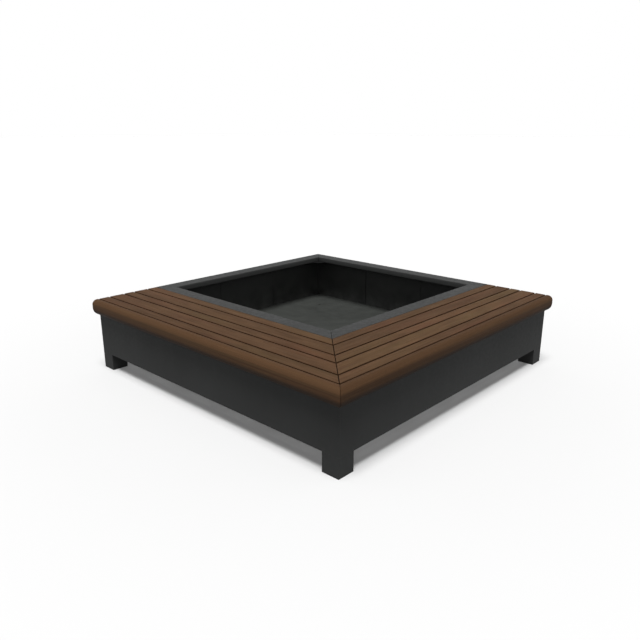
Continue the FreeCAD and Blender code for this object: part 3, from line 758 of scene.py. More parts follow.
class Recipe:
    """A geometry node tree with named sizes, and the way to make a plain mesh with it."""

    def __init__(
        self, name: str, sizes: Mapping[str, float | int], objects: Sequence[str] = ()
    ) -> None:
        """Starts the tree with its inputs.

        Args:
            name: What the tree makes.
            sizes: Each size input with its usual value; whole numbers make whole number inputs.
            objects: Names of inputs that take an object.
        """
        self.tree = bpy.data.node_groups.new(name, "GeometryNodeTree")
        self.sheet = NodeSheet(self.tree)
        self.keys: dict[str, str] = {}
        self.declare("Geometry", "Geometry")
        self.declare("Geometry", "Geometry", "OUTPUT")
        for size, usual in sizes.items():
            kind = "Int" if isinstance(usual, int) else "Float"
            self.declare(size, kind).default_value = usual
        for label in objects:
            self.declare(label, "Object")
        self.declare("Finish", "Material")
        self.given = self.tree.nodes.new("NodeGroupInput").outputs

    def declare(
        self, name: str, kind: str, end: str = "INPUT"
    ) -> bpy.types.NodeTreeInterfaceSocket:
        """Adds an input or an output to the tree.

        Args:
            name: Its name.
            kind: Its type, such as Float or Object.
            end: INPUT or OUTPUT.

        Returns:
            The new socket of the tree's interface.
        """
        socket_type = f"NodeSocket{kind}"
        socket = self.tree.interface.new_socket(name=name, in_out=end, socket_type=socket_type)
        if end == "INPUT":
            self.keys[name] = socket.identifier
        return socket

    def keep(self, geometry: object, name: str, value: object, kind: str = "FLOAT") -> Socket:
        """Stores a value on each point under a name.

        Args:
            geometry: Geometry to store it on.
            name: Name of the attribute.
            value: The value.
            kind: Its data type.

        Returns:
            The geometry with the attribute.
        """
        inputs = {"Geometry": geometry, "Name": name, "Value": value}
        kinds = {"data_type": kind, "domain": "POINT"}
        node = self.sheet.add("GeometryNodeStoreNamedAttribute", inputs, **kinds)
        return node.outputs["Geometry"]

    def recall(self, name: str, kind: str = "FLOAT") -> Socket:
        """The value stored on each point under a name."""
        node = self.sheet.add("GeometryNodeInputNamedAttribute", {"Name": name}, data_type=kind)
        return node.outputs["Attribute"]

    def moved(self, geometry: object, position: object) -> Socket:
        """The geometry with each point set to a position."""
        inputs = {"Geometry": geometry, "Position": position}
        return self.sheet.add("GeometryNodeSetPosition", inputs).outputs[0]

    def swept(self, path: object, closed_ends: bool) -> tuple[Socket, Socket, Mapping[str, Socket]]:
        """Runs the base outline along a path.

        Args:
            path: Curve that it runs along.
            closed_ends: Whether the two ends get a face.

        Returns:
            The mesh, how far along the path each of its points lies, from 0 to 1, and the
            X, Y and Z of the point's place on the outline.
        """
        outline = self.sheet.add("GeometryNodeMeshToCurve", {"Mesh": self.given["Geometry"]})
        position = self.sheet.add("GeometryNodeInputPosition").outputs[0]
        section = self.keep(outline.outputs["Curve"], "section", position, "FLOAT_VECTOR")
        factor = self.sheet.add("GeometryNodeSplineParameter").outputs["Factor"]
        inputs = {
            "Curve": self.keep(path, "run", factor),
            "Profile Curve": section,
            "Fill Caps": closed_ends,
        }
        mesh = self.sheet.add("GeometryNodeCurveToMesh", inputs).outputs["Mesh"]
        place = self.sheet.split(self.recall("section", "FLOAT_VECTOR"))
        return mesh, self.recall("run"), place

    def chance(self, low: float, high: float, which: object, seed: object) -> Socket:
        """A repeatable random number for each board or place.

        Args:
            low: Least value.
            high: Greatest value.
            which: Number of the board or place.
            seed: Seed.

        Returns:
            The number.
        """
        node = self.sheet.tree.nodes.new("FunctionNodeRandomValue")
        node.data_type = "FLOAT"
        floats = [s for s in node.inputs if s.type == "VALUE" and s.enabled]
        for socket, value in zip(floats, (low, high)):
            self.sheet.feed(socket, value)
        self.sheet.feed(node.inputs["ID"], which)
        self.sheet.feed(node.inputs["Seed"], seed)
        return next(s for s in node.outputs if s.type == "VALUE" and s.enabled)

    def close(self, geometry: object) -> None:
        """Ends the tree: plain mesh, smooth faces with sharp corners kept, and the finish.

        Args:
            geometry: What the tree has made.
        """
        solid = self.sheet.add("GeometryNodeRealizeInstances", {"Geometry": geometry}).outputs[0]
        smooth = self.sheet.add("GeometryNodeSetShadeSmooth", {0: solid}, domain="FACE").outputs[0]
        angle = self.sheet.add("GeometryNodeInputMeshEdgeAngle").outputs["Unsigned Angle"]
        corner = self.sheet.sum_up("GREATER_THAN", angle, SHARP_ANGLE)
        inputs = {0: smooth, "Selection": corner, "Shade Smooth": False}
        sharp = self.sheet.add("GeometryNodeSetShadeSmooth", inputs, domain="EDGE").outputs[0]
        inputs = {"Geometry": sharp, "Material": self.given["Finish"]}
        painted = self.sheet.add("GeometryNodeSetMaterial", inputs).outputs[0]
        self.sheet.add("NodeGroupOutput", {0: painted})

    def made(self, base: bpy.types.Mesh, values: Mapping[str, object]) -> bpy.types.Mesh:
        """Runs the tree on a base mesh and returns what it makes as a plain mesh.

        Args:
            base: Mesh that the tree starts from.
            values: Input name to value.

        Returns:
            Plain mesh, closed, with its faces outwards.
        """
        worker = bpy.data.objects.new("worker", base)
        bpy.context.scene.collection.objects.link(worker)
        modifier = worker.modifiers.new("recipe", "NODES")
        modifier.node_group = self.tree
        for name, value in values.items():
            modifier[self.keys[name]] = value
        mesh = plain_mesh(worker)
        tidy_shell(mesh)
        return mesh


def plain_mesh(worker: bpy.types.Object) -> bpy.types.Mesh:
    """What a worker object's modifiers make, as a plain mesh; the worker is removed.

    Args:
        worker: Object with live modifiers.

    Returns:
        The mesh.
    """
    graph = bpy.context.evaluated_depsgraph_get()
    mesh = bpy.data.meshes.new_from_object(
        worker.evaluated_get(graph), preserve_all_data_layers=True, depsgraph=graph
    )
    bpy.data.objects.remove(worker)
    return mesh


def tidy_shell(mesh: bpy.types.Mesh) -> None:
    """Merges doubled points and turns the faces outwards.

    Args:
        mesh: Mesh of closed shells, changed in place.
    """
    shell = bmesh.new()
    shell.from_mesh(mesh)
    bmesh.ops.remove_doubles(shell, verts=shell.verts, dist=MERGE_DISTANCE)
    bmesh.ops.recalc_face_normals(shell, faces=shell.faces)
    shell.to_mesh(mesh)
    shell.free()


def outline_mesh(name: str, points: Sequence[Point], closed: bool = True) -> bpy.types.Mesh:
    """A line through points, as a mesh with edges only.

    Args:
        name: Name of the mesh.
        points: Points in order.
        closed: Whether the last point joins the first.

    Returns:
        The mesh.
    """
    mesh = bpy.data.meshes.new(name)
    count = len(points)
    edges = [(i, (i + 1) % count) for i in range(count if closed else count - 1)]
    mesh.from_pydata(points, edges, [])
    return mesh


def arc(centre: Pair, radius: float, start: float, end: float, steps: int) -> list[Pair]:
    """Points on an arc, its two ends among them.

    Args:
        centre: Middle of the arc.
        radius: Its radius.
        start: Angle of its first point, in radians.
        end: Angle of its last point, in radians.
        steps: Flats along the arc.

    Returns:
        The points, in order.
    """
    angles = [start + (end - start) * step / steps for step in range(steps + 1)]
    x, y = centre
    return [(x + radius * math.cos(angle), y + radius * math.sin(angle)) for angle in angles]


def rounded(points: Sequence[Point], steps: int = 8) -> list[Pair]:
    """Rounds the corners of a closed outline.

    Args:
        points: First coordinate, second coordinate and corner radius of each corner.
        steps: Flats for each rounded corner.

    Returns:
        The outline's points.
    """
    result: list[Pair] = []
    count = len(points)
    for index, (a, b, radius) in enumerate(points):
        here = Vector((a, b))
        if radius <= 0.0:
            result.append((a, b))
            continue
        back = (Vector(points[index - 1][:2]) - here).normalized()
        ahead = (Vector(points[(index + 1) % count][:2]) - here).normalized()
        half = back.angle(ahead) / 2.0
        centre = here + (back + ahead).normalized() * (radius / math.sin(half))
        start = here + back * (radius / math.tan(half)) - centre
        end = here + ahead * (radius / math.tan(half)) - centre
        sweep = start.angle_signed(end)
        for step in range(steps + 1):
            turned = start.copy()
            turned.rotate(Matrix.Rotation(-sweep * step / steps, 2))
            result.append(tuple(centre + turned))
    return result


def bar_recipe() -> Recipe:
    """Recipe of a bar: a section run along X between two ends that may be mitred.

    Returns:
        The recipe. Each end lies at start + slope * y.
    """
    recipe = Recipe(
        "mitred_bar",
        {
            "Low Start": 0.0,
            "Low Slope": 0.0,
            "High Start": 1.0,
            "High Slope": 0.0,
            "Grain Middle Y": 0.0,
            "Grain Middle Z": 0.0,
            "Back": 0.0,
            "Tone": 1.0,
            "Seed": 1,
        },
    )
    sheet, given = recipe.sheet, recipe.given
    line = {"Start": (0.0, 0.0, 0.0), "End": (1.0, 0.0, 0.0)}
    line = sheet.add("GeometryNodeCurvePrimitiveLine", line).outputs[0]
    bar, run, place = recipe.swept(line, closed_ends=True)
    low = sheet.sum_up("MULTIPLY_ADD", given["Low Slope"], place["Y"], given["Low Start"])
    high = sheet.sum_up("MULTIPLY_ADD", given["High Slope"], place["Y"], given["High Start"])
    length = sheet.sum_up("SUBTRACT", high, low)
    along = sheet.sum_up("MULTIPLY_ADD", run, length, low)
    bar = recipe.moved(bar, sheet.joined(along, place["Y"], place["Z"]))
    # Where in its log the bar was sawn.
    ahead = recipe.chance(0.0, 9.0, 1, given["Seed"])
    aside = recipe.chance(-0.02, 0.02, 2, given["Seed"])
    below = recipe.chance(0.06, 0.11, 3, given["Seed"])
    across = sheet.sum_up("SUBTRACT", place["Y"], given["Grain Middle Y"])
    deep = sheet.sum_up("SUBTRACT", place["Z"], given["Grain Middle Z"])
    grain = sheet.joined(
        sheet.sum_up("ADD", along, ahead),
        sheet.sum_up("ADD", across, aside),
        sheet.sum_up("ADD", deep, below),
    )
    bar = recipe.keep(bar, GRAIN, grain, "FLOAT_VECTOR")
    bar = recipe.keep(bar, TONE, given["Tone"])
    behind = sheet.sum_up("SUBTRACT", given["Back"], place["Y"])
    end = sheet.sum_up("MULTIPLY", sheet.sum_up("SUBTRACT", high, along), math.sqrt(0.5))
    bar = recipe.keep(bar, EDGE, sheet.joined(behind, behind, end), "FLOAT_VECTOR")
    recipe.close(bar)
    return recipe


def boards_recipe() -> Recipe:
    """Recipe of one bench's boards: narrow and wide ones in turn, cut to the mitre.

    Returns:
        The recipe.
    """
    recipe = Recipe(
        "bench_boards",
        {
            "Board Count": 5,
            "Body Half": 1.0,
            "First Gap": 0.0065,
            "Board Gap": 0.008,
            "Narrow Width": 0.064,
            "Wide Width": 0.093,
            "Mitre Trim": 0.0021,
            "Underside": 0.41,
            "Top": 0.45,
            "Seed": 1,
            "Tone Seed": 1,
        },
    )
    sheet, given = recipe.sheet, recipe.given
    spots = sheet.add("GeometryNodePoints", {"Count": given["Board Count"]}).outputs[0]
    spots = recipe.keep(spots, "board", sheet.add("GeometryNodeInputIndex").outputs[0])
    block = sheet.add("GeometryNodeMeshCube", {"Size": (1.0, 1.0, 1.0)}).outputs["Mesh"]
    boards = {"Points": spots, "Instance": block}
    boards = sheet.add("GeometryNodeInstanceOnPoints", boards).outputs[0]
    boards = sheet.add("GeometryNodeRealizeInstances", {"Geometry": boards}).outputs[0]
    board = recipe.recall("board")
    pairs = sheet.sum_up("FLOOR", sheet.sum_up("MULTIPLY", board, 0.5))
    odd = sheet.sum_up("SUBTRACT", board, sheet.sum_up("MULTIPLY", pairs, 2.0))
    narrow_before = sheet.sum_up("ADD", pairs, odd)
    narrow_before = sheet.sum_up("MULTIPLY", narrow_before, given["Narrow Width"])
    wide_before = sheet.sum_up("MULTIPLY", pairs, given["Wide Width"])
    gaps = sheet.sum_up("MULTIPLY_ADD", board, given["Board Gap"], given["First Gap"])
    inset = sheet.sum_up("ADD", sheet.sum_up("ADD", narrow_before, wide_before), gaps)
    extra = sheet.sum_up("SUBTRACT", given["Wide Width"], given["Narrow Width"])
    width = sheet.sum_up("MULTIPLY_ADD", odd, extra, given["Narrow Width"])
    corner = sheet.split(sheet.add("GeometryNodeInputPosition").outputs[0])
    across = sheet.sum_up("MULTIPLY", corner["Y"], width)
    front = sheet.sum_up("SUBTRACT", inset, given["Body Half"])
    middle = sheet.sum_up("ADD", front, sheet.sum_up("MULTIPLY", width, 0.5))
    y = sheet.sum_up("ADD", middle, across)
    mitre = sheet.sum_up("SUBTRACT", sheet.sum_up("MULTIPLY", y, -1.0), given["Mitre Trim"])
    start = sheet.sum_up("MULTIPLY", given["Body Half"], -1.0)
    reach = sheet.sum_up("SUBTRACT", mitre, start)
    x = sheet.sum_up("MULTIPLY_ADD", sheet.sum_up("ADD", corner["X"], 0.5), reach, start)
    thick = sheet.sum_up("SUBTRACT", given["Top"], given["Underside"])
    z = sheet.sum_up("ADD", corner["Z"], 0.5)
    z = sheet.sum_up("MULTIPLY_ADD", z, thick, given["Underside"])
    # Where in its log each board was sawn; every draw has its own seed.
    deep = sheet.sum_up("MULTIPLY", corner["Z"], thick)
    tilt = recipe.chance(-0.02, 0.02, board, sheet.sum_up("ADD", given["Seed"], 5.0))
    ahead = recipe.chance(0.0, 40.0, board, given["Seed"])
    aside = recipe.chance(-0.035, 0.035, board, sheet.sum_up("ADD", given["Seed"], 1.0))
    below = recipe.chance(0.035, 0.12, board, sheet.sum_up("ADD", given["Seed"], 2.0))
    grain = sheet.joined(
        sheet.sum_up("ADD", x, ahead),
        sheet.sum_up("ADD", across, aside),
        sheet.sum_up("ADD", sheet.sum_up("MULTIPLY_ADD", x, tilt, deep), below),
    )
    boards = recipe.keep(boards, GRAIN, grain, "FLOAT_VECTOR")
    boards = recipe.keep(boards, TONE, recipe.chance(0.86, 1.14, board, given["Tone Seed"]))
    half = sheet.sum_up("MULTIPLY", width, 0.5)
    edges = sheet.joined(
        sheet.sum_up("ADD", half, across),
        sheet.sum_up("SUBTRACT", half, across),
        sheet.sum_up("MULTIPLY", sheet.sum_up("SUBTRACT", mitre, x), math.sqrt(0.5)),
    )
    boards = recipe.keep(boards, EDGE, edges, "FLOAT_VECTOR")
    recipe.close(recipe.moved(boards, sheet.joined(x, y, z)))
    return recipe


def turned_recipe() -> Recipe:
    """Recipe of a turned part: a section run round the Z axis, with a hexagon milled on it.

    Returns:
        The recipe. The hexagon is cut between two heights.
    """
    recipe = Recipe(
        "turned_part", {"Segments": 36, "Flats": 1.0, "Hexagon From": 1.0, "Hexagon To": 1.0}
    )
    sheet, given = recipe.sheet, recipe.given
    ring = {"Resolution": given["Segments"], "Radius": 1.0}
    ring = sheet.add("GeometryNodeCurvePrimitiveCircle", ring).outputs[0]
    part, turn, place = recipe.swept(ring, closed_ends=False)
    angle = sheet.sum_up("MULTIPLY", turn, math.tau)
    side_angle = math.tau / 6.0
    from_flat = sheet.sum_up("MODULO", angle, side_angle)
    from_flat = sheet.sum_up("SUBTRACT", from_flat, side_angle / 2.0)
    wall = sheet.sum_up("MULTIPLY", given["Flats"], 0.5)
    wall = sheet.sum_up("DIVIDE", wall, sheet.sum_up("COSINE", from_flat))
    above = sheet.sum_up("GREATER_THAN", place["Z"], given["Hexagon From"])
    below = sheet.sum_up("LESS_THAN", place["Z"], given["Hexagon To"])
    milled = sheet.sum_up("MULTIPLY", above, below)
    cut = sheet.sum_up("SUBTRACT", place["X"], sheet.sum_up("MINIMUM", place["X"], wall))
    radius = sheet.sum_up("SUBTRACT", place["X"], sheet.sum_up("MULTIPLY", cut, milled))
    x = sheet.sum_up("MULTIPLY", radius, sheet.sum_up("COSINE", angle))
    y = sheet.sum_up("MULTIPLY", radius, sheet.sum_up("SINE", angle))
    part = {"Geometry": recipe.moved(part, sheet.joined(x, y, place["Z"]))}
    merged = sheet.add("GeometryNodeMergeByDistance", {**part, "Distance": MERGE_DISTANCE})
    recipe.close(merged.outputs[0])
    return recipe


def places_recipe() -> Recipe:
    """Recipe that sets one part out on many places, each turned to its own facing.

    Returns:
        The recipe. Its base mesh holds the places, with a facing on each.
    """
    recipe = Recipe("set_out", {"Free Turn": 0.0, "Seed": 1}, ["Part"])
    sheet, given = recipe.sheet, recipe.given
    part = {"Object": given["Part"]}
    part = sheet.add("GeometryNodeObjectInfo", part, transform_space="ORIGINAL")
    index = sheet.add("GeometryNodeInputIndex").outputs[0]
    facing = recipe.recall("facing", "FLOAT_VECTOR")
    stand = sheet.add("FunctionNodeAlignRotationToVector", {"Vector": facing}, axis="Z").outputs[0]
    spin = recipe.chance(-1.0, 1.0, index, given["Seed"])
    spin = sheet.sum_up("MULTIPLY", spin, given["Free Turn"])
    twist = sheet.add("FunctionNodeEulerToRotation", {0: sheet.joined(0.0, 0.0, spin)}).outputs[0]
    turned = {"Rotation": stand, "Rotate By": twist}
    turned = sheet.add("FunctionNodeRotateRotation", turned, rotation_space="LOCAL").outputs[0]
    placed = {
        "Points": given["Geometry"],
        "Instance": part.outputs["Geometry"],
        "Rotation": turned,
    }
    recipe.close(sheet.add("GeometryNodeInstanceOnPoints", placed).outputs[0])
    return recipe


@dataclass(frozen=True)
class Workshop:
    """What every sub-assembly needs: the recipes and the finishes.

    Attributes:
        finishes: Materials.
        bar: Recipe of bars.
        boards: Recipe of boards.
        turned: Recipe of turned parts.
        places: Recipe that sets parts out.
    """

    finishes: Finishes
    bar: Recipe
    boards: Recipe
    turned: Recipe
    places: Recipe

    @classmethod
    def opened(cls) -> "Workshop":
        """A workshop with all its recipes and finishes made."""
        recipes = (bar_recipe(), boards_recipe(), turned_recipe(), places_recipe())
        return cls(Finishes.mixed(), *recipes)


def deliver(name: str, mesh: bpy.types.Mesh, nodes: Sequence[str]) -> bpy.types.Object:
    """Puts a finished mesh in the scene in place of its solids.

    Args:
        name: Name of the piece.
        mesh: Its mesh, already in place.
        nodes: Solids that the piece stands for.

    Returns:
        The piece.
    """
    mesh.name = name
    piece = bpy.data.objects.new(name, mesh)
    bpy.context.scene.collection.objects.link(piece)
    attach(piece, "root")
    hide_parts(*nodes)
    boxes = [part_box(node) for node in nodes]
    worst = 0.0
    for axis in range(3):
        low = min(box[0][axis] for box in boxes)
        high = max(box[1][axis] for box in boxes)
        values = [vertex.co[axis] for vertex in mesh.vertices]
        worst = max(worst, abs(min(values) - low), abs(max(values) - high))
    triangles = sum(len(face.vertices) - 2 for face in mesh.polygons)
    log.info("%s: %d triangles, within %.2f mm of its solids", name, triangles, worst * 1000.0)
    return piece


def eased(
    mesh: bpy.types.Mesh, width: float, angle: float, end_share: float, segments: int = 3
) -> bpy.types.Mesh:
    """Rounds the sharp edges of a mesh that runs along X.

    Args:
        mesh: Mesh of closed shells.
        width: Width of the rounding.
        angle: Only edges that bend more than this, in degrees, are rounded.
        end_share: Share of the width that the edges round the cut ends get.
        segments: Flats across the rounding.

    Returns:
        A plain mesh with rounded edges.
    """
    shell = bmesh.new()
    shell.from_mesh(mesh)
    shell.edges.ensure_lookup_table()
    lengthwise = 0.95
    shares = []
    for edge in shell.edges:
        run = (edge.verts[1].co - edge.verts[0].co).normalized()
        share = 1.0 if abs(run.x) > lengthwise else end_share
        shares.append(share if edge.calc_face_angle(0.0) > math.radians(angle) else 0.0)
    shell.free()
    mesh.attributes.new("bevel_weight_edge", "FLOAT", "EDGE").data.foreach_set("value", shares)
    worker = bpy.data.objects.new("worker", mesh)
    bpy.context.scene.collection.objects.link(worker)
    bevel = worker.modifiers.new("eased", "BEVEL")
    bevel.width = width
    bevel.segments = segments
    bevel.limit_method = "WEIGHT"
    bevel.harden_normals = True
    return plain_mesh(worker)


def mirrored_mesh(mesh: bpy.types.Mesh) -> bpy.types.Mesh:
    """Turns a mesh of the front bench into its twin on the right bench.

    Args:
        mesh: The mesh, changed in place.

    Returns:
        The same mesh, with its faces outwards.
    """
    mesh.transform(MIRROR)
    mesh.flip_normals()
    return mesh


def repaint(nodes: Iterable[str], material: bpy.types.Material) -> None:
    """Gives solids that keep their shape a finish.

    Args:
        nodes: Names of the solids.
        material: Their finish.
    """
    for name in nodes:
        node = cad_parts[name]
        if not node.material_slots:
            node.data.materials.append(material)
        for place in node.material_slots:
            place.material = material
        log.info("%s: finish %s", name, material.name)


@dataclass
class TimberDeck:
    """The five boards of one bench side.

    Attributes:
        side: Which bench.
        body_half: Half of the square body's width.
        top: Height of the seat.
        thickness: Thickness of the boards.
        narrow: Width of the narrow boards.
        wide: Width of the wide boards.
        gap: Gap between boards.
        first_gap: Gap between the rounded board and the first board.
        mitre_gap: Gap along the mitre.
        ease: Rounding of the boards' edges.
        ease_angle: Only edges that bend more than this, in degrees, are rounded.
        end_share: Share of that rounding that the cut ends get.
        seed: Seed of the boards' grain.
        tone_seed: Seed of how light or dark each board is.
    """

    side: BenchSide
    body_half: float = 1.0
    top: float = 0.45
    thickness: float = 0.04
    narrow: float = 0.064
    wide: float = 0.093
    gap: float = 0.008
    first_gap: float = 0.0065
    mitre_gap: float = 0.003
    ease: float = 0.0029
    ease_angle: float = 30.0
    end_share: float = 0.35
    seed: int = 11
    tone_seed: int = 11306

    def build(self, shop: Workshop) -> bpy.types.Object:
        """Makes the boards and puts them in place.

        Args:
            shop: Recipes and finishes.

        Returns:
            The piece.
        """
        sizes = {
            "Body Half": self.body_half,
            "First Gap": self.first_gap,
            "Board Gap": self.gap,
            "Narrow Width": self.narrow,
            "Wide Width": self.wide,
            "Mitre Trim": self.mitre_gap / math.sqrt(2.0),
            "Underside": self.top - self.thickness,
            "Top": self.top,
            "Seed": self.seed,
            "Tone Seed": self.tone_seed,
            "Finish": shop.finishes.timber,
        }
        mesh = shop.boards.made(bpy.data.meshes.new("start"), sizes)
        mesh = eased(mesh, self.ease, self.ease_angle, self.end_share)
        if self.side is BenchSide.RIGHT:
            mesh = mirrored_mesh(mesh)
        nodes = [f"{self.side.value}_slat_{number}" for number in range(1, 6)]
        return deliver(f"{self.side.value}_bench_boards", mesh, nodes)


@dataclass
class RoundedBoard:
    """The rounded board along the front edge of one bench.

    Attributes:
        side: Which bench.
        body_half: Half of the square body's width.
        top: Height of the seat.
        depth: How far it stands out from the body.
        height: Height of its section.
        top_radius: Radius of its upper rounding.
        low_radius: Radius of its lower rounding.
        mitre_gap: Gap along the mitre.
        ease: Rounding of its sharp edges.
        ease_angle: Only edges that bend more than this, in degrees, are rounded.
        end_share: Share of that rounding that the cut ends get.
        tone: How light its timber is, against the mean of the boards; below 1 it paints shade.
        seed: Seed of its grain.
    """

    side: BenchSide
    body_half: float = 1.0
    top: float = 0.45
    depth: float = 0.044
    height: float = 0.100
    top_radius: float = 0.030
    low_radius: float = 0.050
    mitre_gap: float = 0.001
    ease: float = 0.0018
    ease_angle: float = 40.0
    end_share: float = 0.5
    tone: float = 1.0
    seed: int = 3

    def section(self) -> list[Point]:
        """Outline of the board's section, from its back upper edge round the front.

        Returns:
            Points in the upright plane across the board.
        """
        back = -self.body_half
        front = back - self.depth
        upper = (front + self.top_radius, self.top - self.top_radius)
        lower = (front + self.low_radius, self.top - self.height + self.low_radius)
        drop = math.sqrt(self.low_radius**2 - (lower[0] - back) ** 2)
        low_end = math.atan2(-drop, back - lower[0])
        points = [
            (back, self.top),
            *arc(upper, self.top_radius, math.pi / 2.0, math.pi, 12),
            *arc(lower, self.low_radius, -math.pi, low_end, 16),
        ]
        return [(0.0, y, z) for y, z in points]

    def build(self, shop: Workshop) -> bpy.types.Object:
        """Makes the rounded board and puts it in place.

        Args:
            shop: Recipes and finishes.

        Returns:
            The piece.
        """
        sizes = {
            "Low Start": -self.body_half,
            "Low Slope": 0.0,
            "High Start": -self.mitre_gap / math.sqrt(2.0),
            "High Slope": -1.0,
            "Grain Middle Y": -self.body_half - self.depth / 2.0,
            "Grain Middle Z": self.top - self.height / 2.0,
            "Back": -self.body_half,
            "Tone": self.tone,
            "Seed": self.seed,
            "Finish": shop.finishes.timber,
        }
        mesh = shop.bar.made(outline_mesh("section", self.section()), sizes)
        mesh = eased(mesh, self.ease, self.ease_angle, self.end_share)
        if self.side is BenchSide.RIGHT:
            mesh = mirrored_mesh(mesh)
        name = self.side.value
        return deliver(f"{name}_rounded_board", mesh, [f"{name}_bullnose"])


@dataclass
class PlanterRim:
    """The folded rim round the planting opening, in four mitred rails.

    Attributes:
        body_half: Half of the square body's width.
        near: Distance of the planter's bench sides from the middle.
        top: Height of the rim.
        outer_width: Width of the rails on the outer sides.
        bench_width: Width of the rails beside the benches.
        drop: Height of the lip.
        lip_return: Width of the return under the lip.
        bend: Outer radius of the bends.
        sheet: Thickness of the sheet.
        seam: Width of the mitre seams.
    """

    body_half: float = 1.0
    near: float = 0.583
    top: float = 0.45
    outer_width: float = 0.100
    bench_width: float = 0.094
    drop: float = 0.036
    lip_return: float = 0.018
    bend: float = 0.005
    sheet: float = 0.003
    seam: float = 0.002

    def section(self, width: float, outer_y: float) -> list[Point]:
        """Outline of a rail's section.

        Args:
            width: Width of the rail.
            outer_y: Where its outer edge lies.

        Returns:
            Points in the upright plane across the rail.
        """
        low = self.top - self.drop
        inner = self.bend - self.sheet
        corners = [
            (0.0, self.top, 0.0),
            (width, self.top, self.bend),
            (width, low, self.bend),
            (width - self.lip_return, low, 0.0),
            (width - self.lip_return, low + self.sheet, 0.0),
            (width - self.sheet, low + self.sheet, inner),
            (width - self.sheet, self.top - self.sheet, inner),
            (0.0, self.top - self.sheet, 0.0),
        ]
        return [(0.0, outer_y + a, b) for a, b in rounded(corners)]

    def rail(self, shop: Workshop, side: RimSide) -> bpy.types.Object:
        """Makes one rail.

        Args:
            shop: Recipes and finishes.
            side: Which rail.

        Returns:
            The piece.
        """
        beside_bench = side in (RimSide.FRONT, RimSide.RIGHT)
        ratio = self.outer_width / self.bench_width
        if beside_bench:
            width, outer_y = self.bench_width, -self.near
            low_slope, high_slope = ratio, -1.0
        else:
            width, outer_y = self.outer_width, -self.body_half
            low_slope, high_slope = 1.0, -1.0 / ratio
        low_seam = self.seam / 2.0 * math.hypot(1.0, low_slope)
        high_seam = self.seam / 2.0 * math.hypot(1.0, high_slope)
        sizes = {
            "Low Start": -self.body_half - low_slope * outer_y + low_seam,
            "Low Slope": low_slope,
            "High Start": self.near - high_slope * outer_y - high_seam,
            "High Slope": high_slope,
            "Finish": shop.finishes.rim,
        }
        mesh = shop.bar.made(outline_mesh("section", self.section(width, outer_y)), sizes)
        if not beside_bench:
            mesh.transform(QUARTER)
        if side in (RimSide.RIGHT, RimSide.REAR):
            mesh = mirrored_mesh(mesh)
        return deliver(f"{side.value}_rim", mesh, [f"rim_rail_{side.value}"])

    def build(self, shop: Workshop) -> list[bpy.types.Object]:
        """All four rails, made and in place."""
        return [self.rail(shop, side) for side in RimSide]


@dataclass(frozen=True)
class Turning:
    """Section of a turned fastener or foot, about its own axis.

    Attributes:
        name: What it is.
        section: Radius and height of each point.
        closed: True for a ring with a bore, false if both ends lie on the axis.
        flats: Width across flats of the hexagon, if it has one.
        hexagon: Heights between which the hexagon is cut.
        segments: Flats round the axis.
    """

    name: str
    section: tuple[Pair, ...]
    closed: bool = False
    flats: float = 1.0
    hexagon: Pair = (1.0, 1.0)
    segments: int = 36

    def mesh(self, shop: Workshop, finish: bpy.types.Material) -> bpy.types.Mesh:
        """Turns the section.

        Args:
            shop: Recipes.
            finish: Its material.

        Returns:
            The part's mesh about the origin.
        """
        base = outline_mesh(self.name, [(r, 0.0, z) for r, z in self.section], self.closed)
        sizes = {
            "Segments": self.segments,
            "Flats": self.flats,
            "Hexagon From": self.hexagon[0],
            "Hexagon To": self.hexagon[1],
            "Finish": finish,
        }
        return shop.turned.made(base, sizes)


def hex_nut(name: str, flats: float, height: float, bore: float, segments: int = 36) -> Turning:
    """A hexagonal nut with chamfered corners and bore.

    Args:
        name: What it is.
        flats: Width across flats.
        height: Its height.
        bore: Radius of its bore.
        segments: Flats round the axis.

    Returns:
        The nut's turning.
    """
    corner = flats / math.sqrt(3.0)
    chamfer = (corner - flats / 2.0) * 0.6
    face = flats * 0.49
    lead = bore * 0.12
    section = (
        (bore + lead, 0.0),
        (face, 0.0),
        (corner, chamfer),
        (corner, height - chamfer),
        (face, height),
        (bore + lead, height),
        (bore, height - lead),
        (bore, lead),
    )
    return Turning(name, section, True, flats, hexagon=(-1.0, 1.0), segments=segments)


def threaded_rod(
    name: str, radius: float, length: float, pitch: float, segments: int = 20
) -> Turning:
    """A threaded rod with chamfered ends.

    Args:
        name: What it is.
        radius: Radius over the threads.
        length: Its length.
        pitch: Distance between threads.
        segments: Flats round the axis.

    Returns:
        The rod's turning.
    """
    root = radius - pitch * 0.6
    crest = (pitch * 0.42, pitch * 0.58)
    points = [(0.0, 0.0), (root, 0.0)]
    turns = int((length - pitch) / pitch)
    for turn in range(turns):
        low = pitch * (turn + 0.5)
        points += [(root, low), *((radius, low + rise) for rise in crest)]
    points += [(root, pitch * (turns + 0.5)), (root, length), (0.0, length)]
    return Turning(name, tuple(points), segments=segments)


def set_out(
    shop: Workshop,
    part: Turning,
    places: Sequence[Stand],
    finish: bpy.types.Material,
    free_turn: float = 0.0,
    seed: int = 1,
) -> bpy.types.Mesh:
    """Makes one mesh of a part at many places.

    Args:
        shop: Recipes.
        part: The part.
        places: Place and facing of each.
        finish: Material.
        free_turn: How far each may be turned about its own axis, in radians.
        seed: Seed of those turns.

    Returns:
        The mesh.
    """
    template = bpy.data.objects.new("template", part.mesh(shop, finish))
    base = bpy.data.meshes.new("places")
    base.from_pydata([place for place, _ in places], [], [])
    facing = base.attributes.new("facing", "FLOAT_VECTOR", "POINT")
    facing.data.foreach_set("vector", [value for _, direction in places for value in direction])
    values = {"Part": template, "Free Turn": free_turn, "Seed": seed, "Finish": finish}
    mesh = shop.places.made(base, values)
    bpy.data.objects.remove(template)
    return mesh


